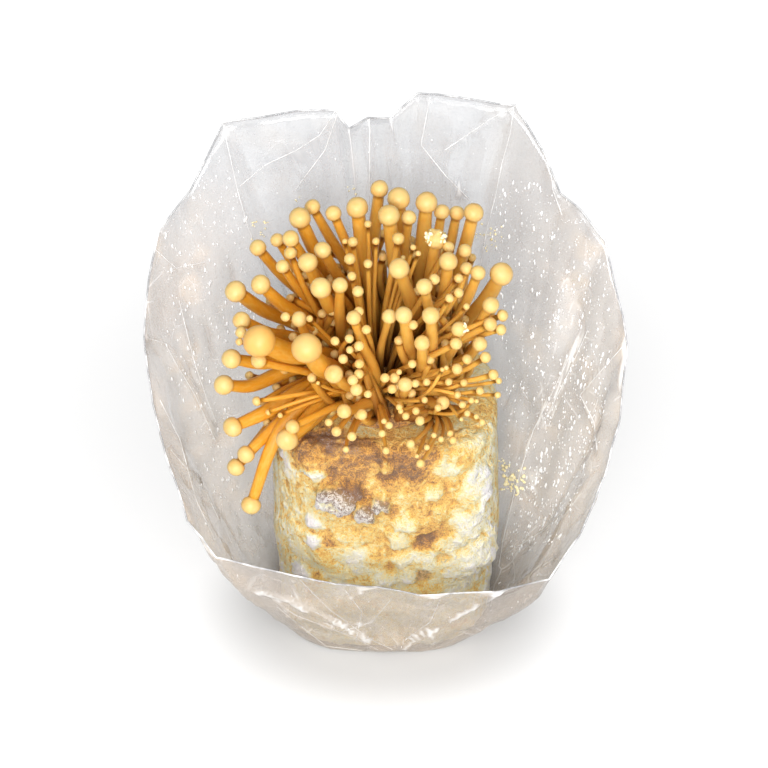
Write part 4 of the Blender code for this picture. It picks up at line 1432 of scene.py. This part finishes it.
@dataclass
class GrowBag:
    """The bag: its film made fine, crumpled and creased, with the cut edge of its mouth."""

    view: PhotoView
    film: bpy.types.Material
    edge: bpy.types.Material
    ridge: bpy.types.Material
    wall: float = 0.35
    cuts: int = 6
    passes: int = 4
    bead: float = 0.5
    fold: float = 0.26
    thickest: float = 1.5
    pitch: float = 3.0
    bead_pitch: float = 4.0

    def sheet(self) -> bmesh.types.BMesh:
        """Returns the bag's inner face alone, as one open sheet of fine quads."""
        sheet = merged("grow_bag")
        short = self.thickest * MM
        thin = [f for f in sheet.faces if min(e.calc_length() for e in f.edges) < short]
        bmesh.ops.delete(sheet, geom=thin, context="FACES")
        lowest = min(sheet.verts, key=lambda v: v.co.z)
        outer = {v for layer in Clump.layers_from(lowest) for v in layer}
        bmesh.ops.delete(sheet, geom=list(outer), context="VERTS")
        bmesh.ops.delete(sheet, geom=[v for v in sheet.verts if not v.link_faces], context="VERTS")
        refine(sheet, self.cuts)
        even_out(sheet, [v for v in sheet.verts if not v.is_boundary], self.passes)
        return sheet

    def build(self, block: BVHTree) -> BVHTree:
        """Makes the bag.

        Args:
            block: The block's surface, which the film stays clear of.

        Returns:
            The film's surface.
        """
        sheet = self.sheet()
        folds = self.crumple(sheet, block)
        sheet.normal_update()
        rim = self.rim(sheet)
        tree = BVHTree.FromBMesh(sheet)
        # The film attribute holds the crease whitening, the warm mist and painted reflection, and
        # the folded layers; the cast attribute holds the painted light beside each crease, the
        # painted shade and how busy the film is
        looks = [(self.sharpness(v), self.mist_and_reflection(v.co), self.press(v.co), 1.0) for v in sheet.verts]
        casts = [
            (0.5 + fold / 2, self.cast(v.co), self.busy(v.co), 1.0)
            for v, fold in zip(sheet.verts, folds)
        ]
        mesh = from_bmesh(sheet, "bag_film")
        note(mesh, "film", "FLOAT_COLOR", np.array(looks))
        note(mesh, "cast", "FLOAT_COLOR", np.array(casts))
        piece = as_piece(mesh, "bag_film", self.film, ["grow_bag"])
        wall = piece.modifiers.new("wall", "SOLIDIFY")
        wall.thickness, wall.offset = self.wall * MM, -1
        lines = [self.crease_line(tree, line) for line, _, _ in CREASES]
        beads = [self.bead_along(line, self.fold, False) for line in lines if len(line) > 1]
        as_piece(rim, "bag_edge", self.edge)
        as_piece(joined(beads, "bag_creases"), "bag_creases", self.ridge)
        log.info("film: %d vertices", len(looks))
        return tree

    @staticmethod
    def mist_and_reflection(place: Vector) -> float:
        """Gives the share of warm mist and painted warm, bright reflection on the film: most at the
        front and low down.
        """
        low = 1 - eased(place.z, 10 * MM, 170 * MM)
        front = eased(-place.y, -10 * MM, 80 * MM)
        beside = eased(abs(place.x), 65 * MM, 105 * MM) * (1 - eased(place.z, 210 * MM, 260 * MM))
        return min(1.0, 0.5 * low + 0.45 * front + 0.5 * beside)

    @staticmethod
    def cast(place: Vector) -> float:
        """Gives how much painted shade darkens the film: most beside the block on the right."""
        beside = eased(place.x, 45 * MM, 70 * MM) * (1 - 0.6 * eased(place.x, 85 * MM, 125 * MM))
        return 0.42 * beside + 0.06

    @staticmethod
    def busy(place: Vector) -> float:
        """Gives how finely the film is crumpled: least on the rear wall."""
        rear = eased(place.y, 30 * MM, 55 * MM) * eased(place.z, 60 * MM, 120 * MM)
        return 1 - 0.8 * rear

    @staticmethod
    def press(place: Vector) -> float:
        """Gives how much of the film lies in folded layers, as at the front flap, which also takes
        painted shade.
        """
        return eased(-place.y, 40 * MM, 75 * MM) * (1 - eased(place.z, 95 * MM, 150 * MM))

    def crease_line(self, tree: BVHTree, line: Sequence[tuple[float, float]]) -> list[Vector]:
        """Follows a crease over the finished film.

        Args:
            tree: The film's surface.
            line: The crease in the picture.

        Returns:
            The places along it.
        """
        found = []
        for place, *_ in self.view.followed(line, tree, self.bead_pitch, 1):
            if not found or 1 * MM < (place - found[-1]).length < 12 * MM:
                found.append(place)
        return found

    def crumple(self, sheet: bmesh.types.BMesh, block: BVHTree) -> list[float]:
        """Presses the creases and the crumple into the film.

        Args:
            sheet: The film.
            block: The block's surface.

        Returns:
            For each vertex, how near it lies to a crease: above 0 on the side that is painted
            lighter, below 0 on the side painted darker.
        """
        tree = BVHTree.FromBMesh(sheet)
        points = []
        for line, rise, width in CREASES:
            for place, normal, sight, bright in self.view.followed(line, tree, self.pitch, 0):
                points.append((place, rise if normal.dot(sight) < 0 else -rise, width, bright))
        search = kdtree.KDTree(len(points))
        for number, (place, *_) in enumerate(points):
            search.insert(place, number)
        search.balance()
        moves, folds = {}, []
        for vert in sheet.verts:
            spot = Vector((vert.co.x, vert.co.y, vert.co.z * 0.6)) / MM
            clear = block.find_nearest(vert.co)[3] / MM
            loose = eased(clear, 1.0, 14.0)
            front = eased(-vert.co.y, 20 * MM, 70 * MM)
            low = 1 - eased(vert.co.z, 40 * MM, 110 * MM)
            calm = eased(vert.co.y, 45 * MM, 62 * MM)
            lift = abs(noise.noise(spot / 38)) * 4.6 - 1.1
            lift += (abs(noise.noise(spot / 17 + Vector((9, 2, 4)))) * 2.4 - 0.6) * (1 - 0.5 * calm)
            lift += (abs(noise.noise(spot / 7)) * 1.2 - 0.3) * (0.15 + 0.5 * max(front, low))
            lift *= loose * (1 - 0.55 * calm)
            place, number, apart = search.find(vert.co)
            _, rise, width, bright = points[number]
            lift += rise * max(0.0, 1 - apart / (width * MM)) ** 1.3 * loose
            side = eased((vert.co - place).dot(bright), -1.8 * MM, 1.8 * MM) * 2 - 1
            folds.append(side * max(0.0, 1 - apart / (1.5 * width * MM)) * min(1.0, rise / 1.5))
            bound = 0.25 if vert.is_boundary else 1.0
            moves[vert] = vert.normal * lift * bound * MM
        for vert, move in moves.items():
            vert.co += move
            vert.co.z = max(vert.co.z, self.wall * MM)
        return folds

    def sharpness(self, vert: bmesh.types.BMVert) -> float:
        """Gives how sharply the film is folded at a vertex, 0 to 1."""
        angles = [edge.calc_face_angle(0.0) for edge in vert.link_edges]
        return max(eased(max(angles), 0.16, 0.75), 0.5 * vert.is_boundary)

    def rim(self, sheet: bmesh.types.BMesh) -> bpy.types.Mesh:
        """Makes the bead along the mouth's edge.

        Args:
            sheet: The film.

        Returns:
            The bead's mesh.
        """
        edges = [e for e in sheet.edges if e.is_boundary]
        vert = edges[0].verts[0]
        loop, edge = [vert], edges[0]
        while True:
            vert = edge.other_vert(vert)
            if vert == loop[0]:
                break
            loop.append(vert)
            edge = next(e for e in vert.link_edges if e.is_boundary and e is not edge)
        return self.bead_along([v.co.copy() for v in loop], self.bead, True)

    @staticmethod
    def bead_along(line: Sequence[Vector], radius: float, ring: bool) -> bpy.types.Mesh:
        """Makes a thin bead along a line.

        Args:
            line: Its points.
            radius: Its radius in mm.
            ring: Whether it closes on itself.

        Returns:
            The bead's mesh.
        """
        data = bpy.data.curves.new("bead", "CURVE")
        data.dimensions, data.bevel_depth, data.bevel_resolution = "3D", radius * MM, 1
        data.use_fill_caps = True
        spline = data.splines.new("POLY")
        spline.points.add(len(line) - 1)
        for point, place in zip(spline.points, line):
            point.co = (*place, 1)
        spline.use_cyclic_u = ring
        curve = bpy.data.objects.new("bead", data)
        mesh = bpy.data.meshes.new_from_object(curve)
        bpy.data.objects.remove(curve)
        return mesh


# Corners of a part of the picture, how many drops it holds, and their least and most size in mm
DROPS = (
    (((500, 180), (560, 185), (605, 260), (612, 340), (575, 345), (520, 470), (505, 480),
      (490, 250)), 620, 0.2, 0.75),
    (((580, 340), (612, 350), (600, 440), (560, 540), (505, 560), (520, 480), (550, 400)),
     420, 0.3, 0.95),
    (((165, 175), (235, 150), (250, 230), (262, 330), (230, 420), (260, 560), (205, 500),
      (160, 340)), 520, 0.2, 0.7),
    (((235, 130), (500, 130), (495, 250), (250, 250)), 130, 0.15, 0.35),
    (((170, 470), (260, 590), (400, 600), (560, 570), (520, 620), (400, 650), (250, 600)),
     160, 0.2, 0.5),
)

# Column and row of each cluster of crumbs, its spread in pixels, how many crumbs it holds, and
# the most size in mm
CRUMBS = (
    (490, 237, 12, 26, 0.7), (253, 223, 3, 5, 0.7), (265, 222, 3, 5, 0.7), (355, 188, 8, 6, 0.6),
    (300, 208, 10, 6, 0.5), (260, 235, 12, 8, 0.5), (514, 483, 12, 46, 1.5), (503, 466, 8, 16, 1.0),
)


@dataclass
class Moisture:
    """Water drops that run down the film's inside, and the crumbs that stick to it."""

    view: PhotoView
    water: bpy.types.Material
    crumb: bpy.types.Material
    seed: int = 21
    least_crumb: float = 0.3
    long_from: float = 0.3

    def build(self, film: BVHTree) -> None:
        """Makes the drops and the crumbs.

        Args:
            film: The film's surface.
        """
        rng = np.random.default_rng(self.seed)
        drops = bmesh.new()
        for corners, count, least, most in DROPS:
            for column, row in self.scatter(corners, count, rng):
                place, normal = film.ray_cast(self.view.eye(), self.view.sight(column, row))[:2]
                if place is not None:
                    size = least + (most - least) * rng.random() ** 4
                    self.drop(drops, place, normal, size * MM, rng)
        as_piece(from_bmesh(drops, "water_drops"), "water_drops", self.water)
        bits = bmesh.new()
        for column, row, spread, count, most in CRUMBS:
            for _ in range(count):
                spot = (column + rng.normal() * spread / 2, row + rng.normal() * spread / 2)
                place, normal = film.ray_cast(self.view.eye(), self.view.sight(*spot))[:2]
                if place is not None:
                    size = rng.uniform(self.least_crumb, most) * MM
                    grain(bits, place + normal * 0.4 * MM, size, rng)
        as_piece(from_bmesh(bits, "film_crumbs"), "film_crumbs", self.crumb)

    @staticmethod
    def scatter(
        corners: Sequence[tuple[float, float]], count: int, rng: np.random.Generator
    ) -> list[tuple[float, float]]:
        """Spreads points inside a part of the picture.

        Args:
            corners: Its corners.
            count: How many points.
            rng: Where they come from.

        Returns:
            The points.
        """
        low, high = np.min(corners, axis=0), np.max(corners, axis=0)
        found = []
        while len(found) < count:
            column, row = rng.uniform(low, high)
            inside = False
            for (x0, y0), (x1, y1) in zip(corners, (*corners[1:], corners[0])):
                if (y0 > row) != (y1 > row) and column < x0 + (row - y0) * (x1 - x0) / (y1 - y0):
                    inside = not inside
            if inside:
                found.append((column, row))
        return found

    def drop(
        self, whole: bmesh.types.BMesh, place: Vector, normal: Vector, size: float,
        rng: np.random.Generator,
    ) -> None:
        """Adds one drop, drawn out down the film.

        Args:
            whole: The drops' mesh.
            place: Where it hangs.
            normal: The film's normal there.
            size: Its radius.
            rng: Where its form comes from.
        """
        down = Vector((0, 0, -1)) - normal * -normal.z
        down = down.normalized() if down.length > 0.1 else Vector((0, -1, 0))
        side = normal.cross(down)
        turn = Matrix((side, down, normal)).transposed().to_4x4()
        drawn = (1.4, 3.4) if size > self.long_from * MM else (1.0, 1.8)
        long = rng.uniform(*drawn)
        scale = Matrix.Diagonal((size, size * long, size * 0.55, 1))
        bmesh.ops.create_icosphere(
            whole, subdivisions=1, radius=1,
            matrix=Matrix.Translation(place + normal * size * 0.2) @ turn @ scale,
        )


# Each lamp's name, its place and side in metres, and its power in watts
LAMPS = (
    ("key", (-0.45, -0.85, 1.05), 0.8, 5.0), ("fill", (0.35, -0.9, 0.95), 0.9, 9.0),
    ("top", (0.0, 0.1, 1.4), 1.0, 2.2), ("front", (-0.1, -1.2, 0.66), 0.5, 12.5),
)


@dataclass
class Studio:
    """A white floor with a soft shadow, partly cast and partly painted around the bag, and even
    light from above and in front.
    """

    sky: float = 0.30
    floor_tone: Colour = (0.6, 0.6, 0.6)
    floor_half: float = 4.0
    floor_gap: float = 0.2
    shadow_across: float = 0.118
    shadow_deep: float = 0.088
    shadow_ahead: float = 0.25
    lamps_face: Colour = (0.0, 0.0, 0.15)

    def build(self) -> None:
        """Makes the floor, the world and the lamps."""
        self.floor()
        self.world()
        for lamp in LAMPS:
            self.lamp(*lamp)
        bpy.context.scene.view_settings.view_transform = "Standard"

    def floor(self) -> None:
        """Makes the floor, which glows a little more the farther it lies from the bag, and less in
        a painted shadow around the bag's foot.
        """
        plane = bmesh.new()
        bmesh.ops.create_grid(plane, x_segments=1, y_segments=1, size=self.floor_half)
        bmesh.ops.translate(plane, verts=plane.verts, vec=(0, 0, -self.floor_gap * MM))
        mesh = from_bmesh(plane, "floor")
        graph = Graph.named("floor")
        seen = self.seen_by(graph, "Is Camera Ray", "Is Glossy Ray", "Is Transmission Ray")
        matt = graph.node("ShaderNodeBsdfDiffuse", {}, {"Color": self.floor_tone})
        # Painted shadow: the floor glows less inside an ellipse around the bag's foot
        shadow = (1 / self.shadow_across, 1 / self.shadow_deep, 0)
        beside = graph.length(graph.stretched(graph.place, shadow, (0, self.shadow_ahead, 0)))
        away = graph.length(graph.place)
        level = away.within(0.1, 0.9, 0.4, 0.95) - beside.within(0.55, 1.05, 0.38, 0)
        lit = graph.node("ShaderNodeEmission", {}, {"Color": (1, 1, 1), "Strength": level})
        both = graph.node("ShaderNodeAddShader", {}, {0: matt, 1: lit})
        graph.finish(graph.node("ShaderNodeMixShader", {}, {0: seen, 1: matt, 2: both}))
        mesh.materials.append(graph.owner)
        plane_object = bpy.data.objects.new("floor", mesh)
        bpy.context.scene.collection.objects.link(plane_object)

    @staticmethod
    def seen_by(graph: Graph, *rays: str) -> Wire:
        """Gives 1 where a ray of any of these kinds arrives."""
        first, *others = graph.outputs(graph.node("ShaderNodeLightPath", {}, {}), *rays)
        for other in others:
            first = first.most(other)
        return first

    def world(self) -> None:
        """Makes the even sky, which is seen as white."""
        graph = Graph(bpy.data.worlds.new("studio"))
        seen = self.seen_by(graph, "Is Camera Ray", "Is Transmission Ray")
        light = {"Color": (1, 1, 1), "Strength": seen * (1 - self.sky) + self.sky}
        graph.finish(graph.node("ShaderNodeBackground", {}, light), "ShaderNodeOutputWorld")
        bpy.context.scene.world = graph.owner

    def lamp(self, name: str, place: Colour, size: float, level: float) -> None:
        """Adds a square lamp that faces the clump.

        Args:
            name: Its name.
            place: Where it hangs, in metres.
            size: Its side.
            level: Its power in watts.
        """
        data = bpy.data.lights.new(name, "AREA")
        data.size, data.energy = size, level
        lamp = bpy.data.objects.new(name, data)
        lamp.location = place
        away = Vector(place) - Vector(self.lamps_face)
        lamp.rotation_euler = away.to_track_quat("Z", "Y").to_euler()
        bpy.context.scene.collection.objects.link(lamp)


def main() -> None:
    logging.basicConfig(level=logging.INFO, format="%(name)s: %(message)s")
    # Until a seed is set, the clock decides how vector noise is shifted
    noise.seed_set(NOISE_SEED)
    view = PhotoView()
    view.build()
    Studio().build()
    sawdust = BlockFinish().material()
    flesh = FleshFinish().material()
    crumb = PlainFinish("torn_flesh", tint(252, 246, 214), tint(250, 232, 176), 0.0012).material()
    # Matt near-white drops: a painted highlight standing in for the glints of clear water
    water = PlainFinish("water", tint(254, 254, 254), tint(248, 248, 249), 0.004, 0.3).material()
    block = SubstrateBlock(view, sawdust).build()
    foot = ClumpFoot(sawdust).build()
    Clump(view, flesh, crumb).build(foot)
    edge = RimFinish("film_edge", tint(168, 169, 172)).material()
    # White crease ridges: stress-whitened film, partly a painted highlight
    ridge = RimFinish("film_crease", tint(248, 247, 245)).material()
    film = GrowBag(view, FilmFinish().material(), edge, ridge).build(block)
    Moisture(view, water, crumb).build(film)


if __name__ == "__main__":
    main()
